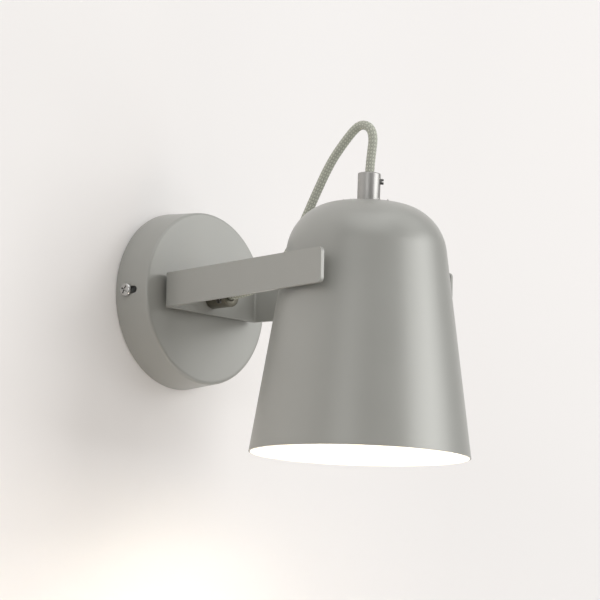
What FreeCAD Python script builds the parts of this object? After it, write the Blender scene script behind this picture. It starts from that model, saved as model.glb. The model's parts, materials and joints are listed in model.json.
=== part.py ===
"""Wall reading lamp: a round canopy, a flat steel yoke and a tilting cone shade fed by a short flex.

Frame: the origin is the centre of the canopy's back, on the wall. +X runs right along the wall,
-Y points out into the room and +Z is up. All sizes are millimetres and angles are degrees.
"""
import FreeCAD, Part
import os
from math import asin, cos, pi, radians, sin, sqrt, tan

Vector = FreeCAD.Vector
Rotation = FreeCAD.Rotation
Placement = FreeCAD.Placement

# Fits and clearances
running_gap = 0.05          # radial, between a shank and the hole that it sits or turns in
slack_gap = 0.25            # radial, round the flex in its grips
fit_gap = 0.1               # between parts that are set into one another

# Canopy: a pressed steel cup, a little narrower at the front
canopy_diameter = 120.0
canopy_taper = 1.7          # radius lost from the wall to the front
canopy_depth = 27.0
canopy_wall = 1.2
canopy_edge_radius = 2.0
side_slot_length = 11.0     # it starts at the side screw and runs towards the front
side_slot_width = 4.9
side_screw_depth = 9.5      # from the wall to the side screws' axis

# Wall bracket: a flat strap with two turned-up ears and a lug for the terminal block
bracket_thickness = 1.5
bracket_width = 20.0
ear_width = 14.0
ear_height = 15.0
bracket_bend = 1.6          # inside bend radius
wall_slot_spacing = 66.0    # between the middles of the two wall slots
wall_slot_length = 18.0
wall_slot_width = 5.0
cable_hole_diameter = 16.0
lug_width = 26.0
lug_reach = 36.0            # from the lamp's axis down to the lug's end
earth_screw_offset = 16.5   # from the lamp's axis, along the strap

# Screws
side_screw_diameter = 4.0
side_head_diameter = 9.0
side_head_height = 2.4
side_screw_length = 8.0
earth_screw_diameter = 4.0
earth_head_diameter = 7.6
earth_head_height = 2.5
recess_width = 1.1          # one bar of the cross recess
recess_share = 0.62         # of the head's diameter
recess_depth = 1.3
head_round_share = 0.62     # of the head's height
driver_slot_width = 0.7
driver_slot_depth = 0.9

# Earth tag
tag_thickness = 0.8
tag_diameter = 8.2
tag_tab_width = 4.0
tag_tab_reach = 9.0

# Terminal block
block_width = 22.0
block_height = 14.0
block_depth = 12.0
block_top_drop = 21.0       # from the lamp's axis down to the block's top face
pole_spacing = 11.0
pole_height = 5.0           # from the block's seat to the middle of its brass tubes
pole_radius = 2.4
pole_bore_radius = 1.5
pole_inset = 1.0
pole_screw_spacing = 7.0
pole_screw_radius = 1.2
pole_head_radius = 1.75
pole_head_height = 2.4
pole_screw_tip = 1.3        # how far the screw goes into its tube
block_screw_diameter = 3.0
block_head_diameter = 5.4
block_head_height = 1.8

# Yoke: one flat steel strip, bent to a U whose arms spread a little
band_height = 23.0
band_thickness = 2.5
yoke_bend = 1.5             # inside bend radius
arm_splay = 7.7
arm_past_pivot = 19.25      # from the pivot line to the arms' ends
arm_gap = 3.1               # on the pivot line, between a bush and the arm beside it
arm_corner_radius = 3.0
yoke_spacer_diameter = 20.0
yoke_spacer_thickness = 3.0

# Hollow threaded nipples, their nuts and washers
nipple_diameter = 10.0
nipple_bore = 7.0
nipple_engagement = 6.5     # length inside a cord grip
nipple_spare = 2.0          # length past its nut
nipple_nut_flats = 14.0
nipple_nut_height = 3.0
lock_washer_diameter = 16.0
lock_washer_thickness = 0.8

# Cord grips
grip_diameter = 15.0
base_grip_length = 17.5
shade_grip_length = 19.0
grip_edge_radius = 0.8
mouth_flare = 0.8
base_screw_height = 12.0    # from the grip's seat to its set screw
shade_screw_height = 13.7
base_screw_angle = 210.0    # round the grip, seen from its mouth
shade_screw_angle = -48.0
grip_screw_diameter = 4.0
base_screw_proud = 0.8
shade_screw_proud = 2.0

# Flex: the route of its middle line in the lamp's middle plane, as (distance from the wall, height)
flex_diameter = 6.0
flex_end_gap = 1.0          # from a nipple's end to the flex's end
flex_route = [
    (57.5, 0.0), (77.0, 4.0), (96.0, 17.5), (110.5, 38.0), (123.8, 61.0), (136.5, 81.3), (149.2, 94.4),
    (159.4, 103.0), (166.5, 103.4), (171.8, 99.4), (173.5, 93.0), (172.2, 84.6), (170.6, 71.5),
]
arc_share = 0.45            # of the shorter run, on each side of a turn
core_diameter = 1.9
core_circle = 1.6           # radius of the ring on which the three cores lie
core_angles = (210.0, 330.0, 90.0)
supply_bend_share = 0.55    # of the canopy's depth, where the live and neutral leads turn down
earth_bend_share = 0.4      # of the canopy's depth, where the earth lead turns aside
lamp_first_share = 0.125    # of the drop to the terminals, where the lamp's leads start to spread
lamp_last_share = 0.58      # of the same drop, where they run straight down
earth_knee_share = 0.57     # of the way to the tag's tab, where the earth lead turns up

# Shade: spun shell, in its own frame with the pivot line as origin and its axis along Z
pivot_distance = 168.75     # from the wall
rest_tilt = 1.44            # the top leans out into the room
rim_radius = 72.3
rim_drop = 115.0            # from the pivot line down to the rim
cone_angle = 8.43
shoulder_rise = 20.2        # from the pivot line up to the end of the cone
shoulder_radius = 35.0
crown_radius = 115.0
crown_flat_diameter = 26.0
shade_wall = 1.0
vent_diameter = 8.0
vent_circle_diameter = 36.0
vent_count = 4
vent_first_angle = 165.0

# Pivots
stud_diameter = 5.0
spacer_diameter = 14.0
bush_flange = 1.5           # its least thickness
bush_spigot_diameter = 8.8
bush_inner_reach = 1.0      # how far the spigot passes the wall at its shallowest
pivot_washer_diameter = 12.0
pivot_washer_thickness = 1.0
spring_washer_diameter = 9.2
spring_washer_thickness = 1.0
lock_nut_flats = 8.0
lock_nut_height = 4.6
stud_spare = 1.0

# Lampholder
holder_radius = 19.5
holder_wall = 2.0
holder_boss_radius = 8.5
holder_boss_height = 7.0
holder_shoulder_radius = 13.0
holder_cone_height = 8.3
holder_cap_height = 26.3
holder_skirt_length = 29.0
holder_ledge = 2.0          # step that carries the insert
holder_ledge_drop = 6.0     # below the skirt's top
insert_height = 10.0
screw_shell_radius = 13.5   # inside
screw_shell_wall = 0.4
screw_shell_length = 20.0
contact_width = 5.0
contact_thickness = 0.5
contact_drop = 2.5          # from the insert to the contact's lowest face
contact_root = 9.0
contact_knee = 4.0
contact_bend = 1.0
holder_terminal_offset = 7.5
holder_terminal_size = (7.0, 8.4, 5.0)
holder_terminal_shift = 2.2
holder_screw_shift = 3.7
holder_screw_radius = 2.5
holder_screw_height = 1.8
holder_nut_height = 2.5
holder_tag_thickness = 0.6
holder_tag_tab_reach = 11.5

# Bulb
bulb_diameter = 55.0
bulb_length = 98.0
bulb_cap_radius = 13.2
bulb_cap_wall = 0.5
bulb_cap_length = 22.0
bulb_contact_radius = 4.5
bulb_contact_height = 0.8
insulator_height = 2.5
insulator_foot_radius = 9.0
housing_wall = 1.5
diffuser_wall = 1.0
diffuser_height = 38.5
led_board_thickness = 1.6
led_board_setback = 2.0
led_circle_radius = 13.0
led_size = (3.5, 2.8, 0.7)
led_count = 8

# Derived places
splay = radians(arm_splay)
tilt = radians(rest_tilt)
cone = radians(cone_angle)
canopy_slope = canopy_taper / canopy_depth
canopy_front_radius = canopy_diameter / 2 - canopy_taper
canopy_inside_radius = canopy_diameter / 2 - canopy_wall
yoke_seat = canopy_depth + yoke_spacer_thickness
base_grip_seat = yoke_seat + band_thickness
arm_reach = pivot_distance + arm_past_pivot
pivot = Vector(0, -pivot_distance, 0)


def shade_outline(inset):
    """The shade's meridian pulled inwards by inset: cone, shoulder arc, crown arc and top flat.

    Both arcs keep their centres, so the shell has the same wall everywhere. Returns the points
    and arc middles that the outline needs, from the rim up to the axis.
    """
    normal = Vector(cos(cone), 0, sin(cone))
    rim = Vector(rim_radius, 0, -rim_drop)
    shoulder = Vector(rim_radius - (rim_drop + shoulder_rise) * tan(cone), 0, shoulder_rise)
    arc_centre = shoulder - normal * shoulder_radius
    crown_angle = asin(arc_centre.x / (crown_radius - shoulder_radius))
    crown_centre = Vector(0, 0, arc_centre.z - (crown_radius - shoulder_radius) * cos(crown_angle))
    flat_angle = asin(crown_flat_diameter / 2 / crown_radius)

    def on_shoulder(angle):
        reach = shoulder_radius - inset
        return arc_centre + Vector(reach * cos(angle), 0, reach * sin(angle))

    def on_crown(angle):
        reach = crown_radius - inset
        return crown_centre + Vector(reach * sin(angle), 0, reach * cos(angle))

    shoulder_end = pi / 2 - crown_angle
    flat_edge = on_crown(flat_angle)
    return {
        "rim": Vector(rim.x - inset / cos(cone), 0, rim.z),
        "shoulder": shoulder - normal * inset,
        "shoulder_middle": on_shoulder((cone + shoulder_end) / 2),
        "crown": on_shoulder(shoulder_end),
        "crown_middle": on_crown((crown_angle + flat_angle) / 2),
        "flat": flat_edge,
        "top": Vector(0, 0, flat_edge.z),
    }


crown_top = shade_outline(0)["top"].z
crown_inside = shade_outline(shade_wall)["top"].z
shade_radius_at_pivot = rim_radius - rim_drop * tan(cone)

# Pivot stations, as distances from the lamp's middle plane
bush_face = shade_radius_at_pivot + spacer_diameter / 2 * tan(cone) + bush_flange
arm_inside = bush_face + arm_gap
arm_outside = arm_inside + band_thickness / cos(splay)
yoke_base_width = 2 * (arm_outside - (pivot_distance - yoke_seat) * tan(splay))
spigot_radius = bush_spigot_diameter / 2
wall_depth_at_spigot = shade_wall / cos(cone) + spigot_radius * tan(cone) + spigot_radius ** 2 / rim_radius
bush_inner_face = shade_radius_at_pivot - wall_depth_at_spigot - bush_inner_reach
washer_face = bush_inner_face - pivot_washer_thickness
spring_face = washer_face - spring_washer_thickness
lock_nut_face = spring_face - lock_nut_height
stud_tip = lock_nut_face - stud_spare

# Heights along the shade's axis
nipple_nut_top = crown_inside - lock_washer_thickness
holder_top = nipple_nut_top - nipple_nut_height
boss_foot = holder_top - holder_boss_height
holder_tag_foot = boss_foot - holder_tag_thickness
holder_nut_foot = holder_tag_foot - holder_nut_height
shade_nipple_foot = holder_nut_foot - fit_gap
holder_joint = holder_top - holder_cap_height
insert_foot = holder_joint - holder_ledge_drop
insert_top = insert_foot + insert_height
bulb_top = insert_foot - contact_drop
bulb_cap_top = bulb_top - bulb_contact_height - insulator_height
bulb_cap_foot = bulb_cap_top - bulb_cap_length
bulb_foot = bulb_top - bulb_length
globe_centre = bulb_foot + bulb_diameter / 2
diffuser_top = bulb_foot + diffuser_height
diffuser_radius = sqrt((bulb_diameter / 2) ** 2 - (diffuser_top - globe_centre) ** 2)

# Flex ends
base_flex_end = base_grip_seat + nipple_engagement + flex_end_gap
shade_flex_end = crown_top + nipple_engagement + flex_end_gap
base_core_end = base_flex_end - running_gap
shade_core_end = shade_flex_end - running_gap


def upright(shape):
    """Turns a shape made as (across, up, distance from the wall) into the lamp's frame."""
    turned = shape.copy()
    turned.Placement = Placement(Vector(0, 0, 0), Rotation(Vector(1, 0, 0), 90)).multiply(turned.Placement)
    return turned


def on_shade(shape):
    """Sets a shape made in the shade's frame at the pivots, with the shade's rest tilt."""
    placed = shape.copy()
    placed.Placement = Placement(pivot, Rotation(Vector(1, 0, 0), rest_tilt)).multiply(placed.Placement)
    return placed


def rod(foot, direction, radius, length):
    return Part.makeCylinder(radius, length, foot, direction)


def ring(foot, direction, outer_radius, inner_radius, length):
    return rod(foot, direction, outer_radius, length).cut(rod(foot, direction, inner_radius, length))


def block(middle, size):
    """A box from its middle point and its three sizes."""
    corner = middle - Vector(*size) * 0.5
    return Part.makeBox(size[0], size[1], size[2], corner)


def both_sides(shape):
    """The shape and its mirror image across the lamp's middle plane, as two separate solids."""
    return Part.makeCompound([shape, shape.mirror(Vector(0, 0, 0), Vector(1, 0, 0))])


def turned_solid(outline):
    """A solid of revolution about Z from a closed outline of points in the XZ plane."""
    edges = [Part.LineSegment(a, b).toShape() for a, b in zip(outline, outline[1:] + outline[:1])]
    return Part.Face(Part.Wire(edges)).revolve(Vector(0, 0, 0), Vector(0, 0, 1), 360)


def hexagon_nut(foot, direction, flats, height, bore_radius):
    """A hexagon nut with its outer corners chamfered by a turned cone on both faces."""
    corner_radius = flats / 2 / cos(pi / 6)
    points = [Vector(corner_radius * cos(k * pi / 3), corner_radius * sin(k * pi / 3), 0) for k in range(7)]
    prism = Part.Face(Part.makePolygon(points)).extrude(Vector(0, 0, height))
    bevel = (corner_radius - flats / 2) * tan(pi / 6)
    turning = turned_solid([
        Vector(0, 0, 0), Vector(flats / 2, 0, 0), Vector(corner_radius, 0, bevel),
        Vector(corner_radius, 0, height - bevel), Vector(flats / 2, 0, height), Vector(0, 0, height),
    ])
    nut = prism.common(turning).cut(rod(Vector(0, 0, 0), Vector(0, 0, 1), bore_radius, height))
    nut.Placement = Placement(foot, Rotation(Vector(0, 0, 1), direction))
    return nut


def pan_screw(seat, direction, shank, head, head_height, length):
    """A pan-head screw with a cross recess. Direction points from the head to the tip."""
    shaft = rod(Vector(0, 0, 0), Vector(0, 0, 1), shank / 2, length)
    top = rod(Vector(0, 0, -head_height), Vector(0, 0, 1), head / 2, head_height)
    crown_edge = [edge for edge in top.Edges if abs(edge.BoundBox.ZMax + head_height) < running_gap
                  and edge.BoundBox.XLength > head / 2]
    top = top.makeFillet(head_height * head_round_share, crown_edge)
    span = head * recess_share
    floor = Vector(0, 0, -head_height + recess_depth / 2)
    bar = block(floor, (span, recess_width, recess_depth))
    cross = bar.fuse(block(floor, (recess_width, span, recess_depth)))
    screw = shaft.fuse(top).cut(cross).removeSplitter()
    screw.Placement = Placement(seat, Rotation(Vector(0, 0, 1), direction))
    return screw


def slotted_pin(tip, direction, radius, length):
    """A headless screw with a driver slot in its outer end. Direction points from tip to slot."""
    pin = rod(Vector(0, 0, 0), Vector(0, 0, 1), radius, length)
    slot_size = (2 * radius + driver_slot_width, driver_slot_width, 2 * driver_slot_depth)
    slot = block(Vector(0, 0, length), slot_size)
    pin = pin.cut(slot)
    pin.Placement = Placement(tip, Rotation(Vector(0, 0, 1), direction))
    return pin


def route_wire(points, radii):
    """Straight runs joined by tangent arcs: one arc of the given radius at each inner point."""
    edges = []
    start = points[0]
    for before, corner, after, radius in zip(points, points[1:], points[2:], radii):
        into = (corner - before).normalize()
        out = (after - corner).normalize()
        half_turn = into.getAngle(out) / 2
        leg = radius * tan(half_turn)
        arc_start = corner - into * leg
        arc_end = corner + out * leg
        inward = (out - into).normalize()
        middle = corner + inward * (radius / cos(half_turn) - radius)
        edges.append(Part.LineSegment(start, arc_start).toShape())
        edges.append(Part.Arc(arc_start, middle, arc_end).toShape())
        start = arc_end
    edges.append(Part.LineSegment(start, points[-1]).toShape())
    return Part.Wire(edges)


def largest_radii(points):
    """For each inner point, the arc that uses arc_share of the shorter run beside it."""
    radii = []
    for before, corner, after in zip(points, points[1:], points[2:]):
        into, out = corner - before, after - corner
        shorter = min(into.Length, out.Length)
        radii.append(arc_share * shorter / tan(into.getAngle(out) / 2))
    return radii


def tube_along(points, radii, radius):
    """A round tube along a route."""
    wire = route_wire(points, radii)
    direction = points[1] - points[0]
    section = Part.Wire(Part.Circle(points[0], direction, radius).toShape())
    return wire.makePipeShell([section], True, False), wire.Length


def bent_strip(points, bend_radius, thickness, width, across):
    """A flat strip along its middle line, as wide as width along the direction across."""
    turns = len(points) - 2
    wire = route_wire(points, [bend_radius + thickness / 2] * turns)
    along = (points[1] - points[0]).normalize()
    side = across.cross(along).normalize() * (thickness / 2)
    rise = across * (width / 2)
    start = points[0]
    corners = [start + side + rise, start + side - rise, start - side - rise, start - side + rise]
    section = Part.makePolygon(corners + corners[:1])
    return wire.makePipeShell([section], True, False)


def oblong(middle, along, normal, length, width, depth):
    """A cutter for a slot with round ends, centred on middle and cut along normal."""
    half = along * ((length - width) / 2)
    foot = middle - normal * (depth / 2)
    across = normal.cross(along)
    side = across * (width / 2)
    corners = [foot - half - side, foot + half - side, foot + half + side, foot - half + side]
    bar = Part.Face(Part.makePolygon(corners + corners[:1])).extrude(normal * depth)
    ends = [rod(foot + half, normal, width / 2, depth), rod(foot - half, normal, width / 2, depth)]
    return bar.fuse(ends)


# ---- Pieces on the wall, made as (across, up, distance from the wall) ----

OUT = Vector(0, 0, 1)
ACROSS = Vector(1, 0, 0)
UP = Vector(0, 1, 0)


def canopy_cover():
    outside = Part.makeCone(canopy_diameter / 2, canopy_front_radius, canopy_depth)
    front_edge = [edge for edge in outside.Edges if abs(edge.BoundBox.ZMin - canopy_depth) < running_gap]
    outside = outside.makeFillet(canopy_edge_radius, front_edge)
    hollow_depth = canopy_depth - canopy_wall
    hollow_front = canopy_inside_radius - hollow_depth * canopy_slope
    hollow = Part.makeCone(canopy_inside_radius, hollow_front, hollow_depth)
    hollow_edge = [edge for edge in hollow.Edges if abs(edge.BoundBox.ZMin - hollow_depth) < running_gap]
    hollow = hollow.makeFillet(canopy_edge_radius - canopy_wall, hollow_edge)
    cover = outside.cut(hollow)
    slot_depth = side_screw_depth + (side_slot_length - side_slot_width) / 2
    slots = oblong(Vector(0, 0, slot_depth), OUT, ACROSS, side_slot_length, side_slot_width,
                   canopy_diameter + canopy_wall)
    centre_hole = rod(Vector(0, 0, 0), OUT, nipple_diameter / 2 + fit_gap, canopy_depth + canopy_wall)
    return upright(cover.cut(slots).cut(centre_hole))


def ear_face():
    """Distance from the middle plane to an ear's outer face, just inside the tapered canopy."""
    tightest = canopy_inside_radius - ear_height * canopy_slope
    return sqrt(tightest ** 2 - (ear_width / 2) ** 2) - fit_gap


def wall_bracket():
    half = bracket_thickness / 2
    face = ear_face() - half
    points = [Vector(-face, 0, ear_height), Vector(-face, 0, half),
              Vector(face, 0, half), Vector(face, 0, ear_height)]
    strap = bent_strip(points, bracket_bend, bracket_thickness, bracket_width, UP)
    trim_height = ear_height - bracket_thickness - bracket_bend
    trim_width = (bracket_width - ear_width) / 2
    trim_level = ear_height - trim_height / 2
    for side in (-1, 1):
        for level in (-1, 1):
            middle = Vector(side * face, level * (bracket_width - trim_width) / 2, trim_level)
            strap = strap.cut(block(middle, (2 * bracket_thickness, trim_width, trim_height)))
    lug_middle = Vector(0, -(lug_reach + bracket_width / 2) / 2, half)
    lug_height = lug_reach - bracket_width / 2
    strap = strap.fuse(block(lug_middle, (lug_width, lug_height, bracket_thickness))).removeSplitter()
    through = 4 * bracket_thickness
    below = Vector(0, 0, -bracket_thickness)
    for side in (-1, 1):
        middle = Vector(side * wall_slot_spacing / 2, 0, half)
        strap = strap.cut(oblong(middle, ACROSS, OUT, wall_slot_length, wall_slot_width, through))
    cuts = [
        rod(below, OUT, cable_hole_diameter / 2, through),
        rod(below + Vector(-earth_screw_offset, 0, 0), OUT, earth_screw_diameter / 2 + running_gap, through),
        rod(below + Vector(0, block_middle_height(), 0), OUT, block_screw_diameter / 2 + running_gap,
            through),
        rod(Vector(-ear_face() - through, 0, side_screw_depth), ACROSS, side_screw_diameter / 2 + running_gap,
            2 * (ear_face() + through)),
    ]
    for cutter in cuts:
        strap = strap.cut(cutter)
    return upright(strap)


def side_head_seat():
    """Where a flat head first meets the tapered wall: on the edge of the head that is nearest the wall."""
    return canopy_diameter / 2 - (side_screw_depth - side_head_diameter / 2) * canopy_slope + running_gap


def canopy_screws():
    seat = Vector(side_head_seat(), 0, side_screw_depth)
    screw = pan_screw(seat, Vector(-1, 0, 0), side_screw_diameter, side_head_diameter, side_head_height,
                      side_screw_length)
    return upright(both_sides(screw))


def earth_screw():
    seat = Vector(-earth_screw_offset, 0, bracket_thickness + tag_thickness)
    return upright(pan_screw(seat, Vector(0, 0, -1), earth_screw_diameter, earth_head_diameter,
                             earth_head_height, bracket_thickness + tag_thickness))


def earth_tag():
    middle = Vector(-earth_screw_offset, 0, bracket_thickness)
    disc = rod(middle, OUT, tag_diameter / 2, tag_thickness)
    tab = block(middle + Vector(tag_tab_reach / 2, 0, tag_thickness / 2),
                (tag_tab_reach, tag_tab_width, tag_thickness))
    hole = rod(middle, OUT, earth_screw_diameter / 2 + running_gap, tag_thickness)
    return upright(disc.fuse(tab).removeSplitter().cut(hole))


def block_middle_height():
    return -(block_top_drop + block_height / 2)


def pole_places():
    """Middle points of the two brass tubes, and the two screw heights along each tube."""
    level = bracket_thickness + pole_height
    poles = [Vector(side * pole_spacing / 2, block_middle_height(), level) for side in (-1, 1)]
    rows = [Vector(0, side * pole_screw_spacing / 2, 0) for side in (-1, 1)]
    return poles, rows


def terminal_block():
    middle = Vector(0, block_middle_height(), bracket_thickness + block_depth / 2)
    body = block(middle, (block_width, block_height, block_depth))
    poles, rows = pole_places()
    for pole in poles:
        foot = pole - UP * (block_height / 2)
        body = body.cut(rod(foot, UP, pole_radius + running_gap, block_height))
        for row in rows:
            body = body.cut(rod(pole + row, OUT, pole_head_radius + fit_gap, block_depth))
    screw_hole = rod(Vector(0, block_middle_height(), 0), OUT, block_screw_diameter / 2 + running_gap,
                     2 * block_depth)
    return upright(body.cut(screw_hole))


def terminal_tubes():
    poles, rows = pole_places()
    length = block_height - 2 * pole_inset
    tubes = []
    for pole in poles:
        tube = ring(pole - UP * (length / 2), UP, pole_radius, pole_bore_radius, length)
        for row in rows:
            tube = tube.cut(rod(pole + row, OUT, pole_screw_radius + running_gap, 2 * pole_radius))
        tubes.append(tube)
    return upright(Part.makeCompound(tubes))


def terminal_screws():
    poles, rows = pole_places()
    screws = []
    for pole in poles:
        for row in rows:
            tip = pole + row + OUT * (pole_radius - pole_screw_tip)
            shank = rod(tip, OUT, pole_screw_radius, pole_screw_tip + running_gap)
            head = slotted_pin(tip + OUT * (pole_screw_tip + running_gap), OUT, pole_head_radius,
                               pole_head_height)
            screws.append(shank.fuse(head))
    return upright(Part.makeCompound(screws))


def terminal_block_screw():
    seat = Vector(0, block_middle_height(), bracket_thickness + block_depth)
    return upright(pan_screw(seat, Vector(0, 0, -1), block_screw_diameter, block_head_diameter,
                             block_head_height, block_depth + bracket_thickness))


def core_places():
    """Where the three cores leave the flex, as (first, second, third) across and up."""
    return [Vector(core_circle * cos(radians(angle)), core_circle * sin(radians(angle)), 0)
            for angle in core_angles]


def core_tube(points):
    return tube_along(points, largest_radii(points), core_diameter / 2)[0]


def canopy_core(start, side):
    """One core from the flex's end through the nipple and down into its brass tube."""
    end = Vector(side * pole_spacing / 2, block_middle_height() + pole_screw_spacing / 2 + pole_radius,
                 bracket_thickness + pole_height)
    knee = Vector(end.x, -block_top_drop / 2, end.z)
    start_point = start + OUT * base_core_end
    first_bend = start + OUT * (canopy_depth * supply_bend_share)
    return upright(core_tube([start_point, first_bend, knee, end]))


def earth_lead():
    start = core_places()[2]
    level = bracket_thickness + tag_thickness + core_diameter / 2 + running_gap
    end = Vector(-earth_screw_offset + earth_head_diameter / 2 + fit_gap, 0, level)
    points = [start + OUT * base_core_end, start + OUT * (canopy_depth * earth_bend_share),
              Vector(end.x / 2 + start.x, start.y / 2, level), end]
    return upright(core_tube(points))


def yoke():
    half = band_thickness / 2
    corner = yoke_base_width / 2 - half * (1 / cos(splay) - tan(splay))
    base_line = yoke_seat + half
    end = corner + (arm_reach - base_line) * tan(splay)
    points = [Vector(-end, 0, arm_reach), Vector(-corner, 0, base_line), Vector(corner, 0, base_line),
              Vector(end, 0, arm_reach)]
    strip = bent_strip(points, yoke_bend, band_thickness, band_height, UP)
    tips = [edge for edge in strip.Edges
            if edge.CenterOfMass.z > arm_reach - band_thickness and edge.Length < 2 * band_thickness]
    strip = strip.makeFillet(arm_corner_radius, tips)
    hole = rod(Vector(0, 0, yoke_seat - half), OUT, nipple_diameter / 2 + fit_gap, 2 * band_thickness)
    return upright(strip.cut(hole))


def yoke_spacer():
    return upright(ring(OUT * canopy_depth, OUT, yoke_spacer_diameter / 2, nipple_diameter / 2 + fit_gap,
                        yoke_spacer_thickness))


def lock_washer(foot):
    return ring(foot, OUT, lock_washer_diameter / 2, nipple_diameter / 2 + fit_gap, lock_washer_thickness)


def base_stack():
    """Foot levels of the nut, the washer and the nipple behind the canopy's front."""
    washer = canopy_depth - canopy_wall - lock_washer_thickness
    nut = washer - nipple_nut_height
    return washer, nut, nut - nipple_spare


def base_nipple():
    foot = base_stack()[2]
    return upright(ring(OUT * foot, OUT, nipple_diameter / 2, nipple_bore / 2,
                        base_grip_seat + nipple_engagement - foot))


def base_lock_washer():
    return upright(lock_washer(OUT * base_stack()[0]))


def base_nipple_nut():
    return upright(hexagon_nut(OUT * base_stack()[1], OUT, nipple_nut_flats, nipple_nut_height,
                               nipple_diameter / 2 + running_gap))


def cord_grip(length, screw_height, screw_angle):
    """A turned grip on its seat at Z = 0: threaded foot, flex bore, flared mouth and screw hole."""
    body = rod(Vector(0, 0, 0), OUT, grip_diameter / 2, length)
    mouth_edge = [edge for edge in body.Edges if abs(edge.BoundBox.ZMin - length) < running_gap]
    body = body.makeFillet(grip_edge_radius, mouth_edge)
    bore = flex_diameter / 2 + slack_gap
    inside = turned_solid([
        Vector(0, 0, 0), Vector(nipple_diameter / 2 + running_gap, 0, 0),
        Vector(nipple_diameter / 2 + running_gap, 0, nipple_engagement), Vector(bore, 0, nipple_engagement),
        Vector(bore, 0, length - mouth_flare), Vector(bore + mouth_flare, 0, length), Vector(0, 0, length),
    ])
    screw_hole = rod(OUT * screw_height, screw_direction(screw_angle), grip_screw_diameter / 2 + running_gap,
                     grip_diameter)
    return body.cut(inside).cut(screw_hole)


def screw_direction(angle):
    return Vector(cos(radians(angle)), sin(radians(angle)), 0)


def grip_screw(height, angle, proud):
    direction = screw_direction(angle)
    tip = OUT * height + direction * (flex_diameter / 2 + running_gap)
    length = grip_diameter / 2 + proud - flex_diameter / 2 - running_gap
    return slotted_pin(tip, direction, grip_screw_diameter / 2, length)


def raised(shape, height):
    lifted = shape.copy()
    lifted.Placement = Placement(OUT * height, Rotation()).multiply(lifted.Placement)
    return lifted


def base_cord_grip():
    return upright(raised(cord_grip(base_grip_length, base_screw_height, base_screw_angle), base_grip_seat))


def base_grip_screw():
    return upright(raised(grip_screw(base_screw_height, base_screw_angle, base_screw_proud), base_grip_seat))


# ---- Pivots, made in the lamp's frame ----

def against_arm(foot, outer_radius, inner_radius, yoke_shape):
    """A stud or ring on the pivot line, from foot out to the slanted inner face of the arm."""
    reach = arm_inside + outer_radius * tan(splay) + running_gap
    foot_point = pivot + Vector(foot, 0, 0)
    body = rod(foot_point, ACROSS, outer_radius, reach - foot)
    if inner_radius:
        body = body.cut(rod(foot_point, ACROSS, inner_radius, reach - foot))
    return both_sides(body.cut(yoke_shape))


def pivot_rings(foot, outer_diameter, thickness):
    return both_sides(ring(pivot + Vector(foot, 0, 0), ACROSS, outer_diameter / 2,
                           stud_diameter / 2 + running_gap, thickness))


def pivot_lock_nuts():
    return both_sides(hexagon_nut(pivot + Vector(lock_nut_face, 0, 0), ACROSS, lock_nut_flats,
                                  lock_nut_height, stud_diameter / 2 + running_gap))


# ---- Pieces on the shade, made in the shade's frame ----

def shade_body(inset):
    """The full solid inside the shade's outline, pulled in by inset."""
    line = shade_outline(inset)
    foot = Vector(0, 0, line["rim"].z)
    edges = [
        Part.LineSegment(foot, line["rim"]).toShape(),
        Part.LineSegment(line["rim"], line["shoulder"]).toShape(),
        Part.Arc(line["shoulder"], line["shoulder_middle"], line["crown"]).toShape(),
        Part.Arc(line["crown"], line["crown_middle"], line["flat"]).toShape(),
        Part.LineSegment(line["flat"], line["top"]).toShape(),
        Part.LineSegment(line["top"], foot).toShape(),
    ]
    return Part.Face(Part.Wire(edges)).revolve(Vector(0, 0, 0), OUT, 360)


def shade():
    shell = shade_body(0).cut(shade_body(shade_wall))
    shell = shell.cut(rod(OUT * (crown_inside - shade_wall), OUT, nipple_diameter / 2 + fit_gap,
                          3 * shade_wall))
    for k in range(vent_count):
        angle = radians(vent_first_angle + 360.0 * k / vent_count)
        foot = Vector(cos(angle), sin(angle), 0) * (vent_circle_diameter / 2)
        shell = shell.cut(rod(foot, OUT, vent_diameter / 2, crown_top))
    pivot_hole = rod(Vector(-rim_radius, 0, 0), ACROSS, spigot_radius + running_gap, 2 * rim_radius)
    return on_shade(shell.cut(pivot_hole))


def pivot_bushes():
    bore = stud_diameter / 2 + running_gap
    root = shade_radius_at_pivot - spacer_diameter
    flange = ring(Vector(root, 0, 0), ACROSS, spacer_diameter / 2, bore, bush_face - root)
    flange = flange.cut(shade_body(0))
    spigot = ring(Vector(bush_inner_face, 0, 0), ACROSS, spigot_radius, bore, bush_face - bush_inner_face)
    return on_shade(both_sides(flange.fuse(spigot).removeSplitter()))


def shade_nipple():
    return on_shade(ring(OUT * shade_nipple_foot, OUT, nipple_diameter / 2, nipple_bore / 2,
                         crown_top + nipple_engagement - shade_nipple_foot))


def shade_lock_washer():
    return on_shade(lock_washer(OUT * nipple_nut_top))


def shade_nipple_nut():
    return on_shade(hexagon_nut(OUT * holder_top, OUT, nipple_nut_flats, nipple_nut_height,
                                nipple_diameter / 2 + running_gap))


def shade_cord_grip():
    return on_shade(raised(cord_grip(shade_grip_length, shade_screw_height, shade_screw_angle), crown_top))


def shade_grip_screw():
    return on_shade(raised(grip_screw(shade_screw_height, shade_screw_angle, shade_screw_proud), crown_top))


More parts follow.
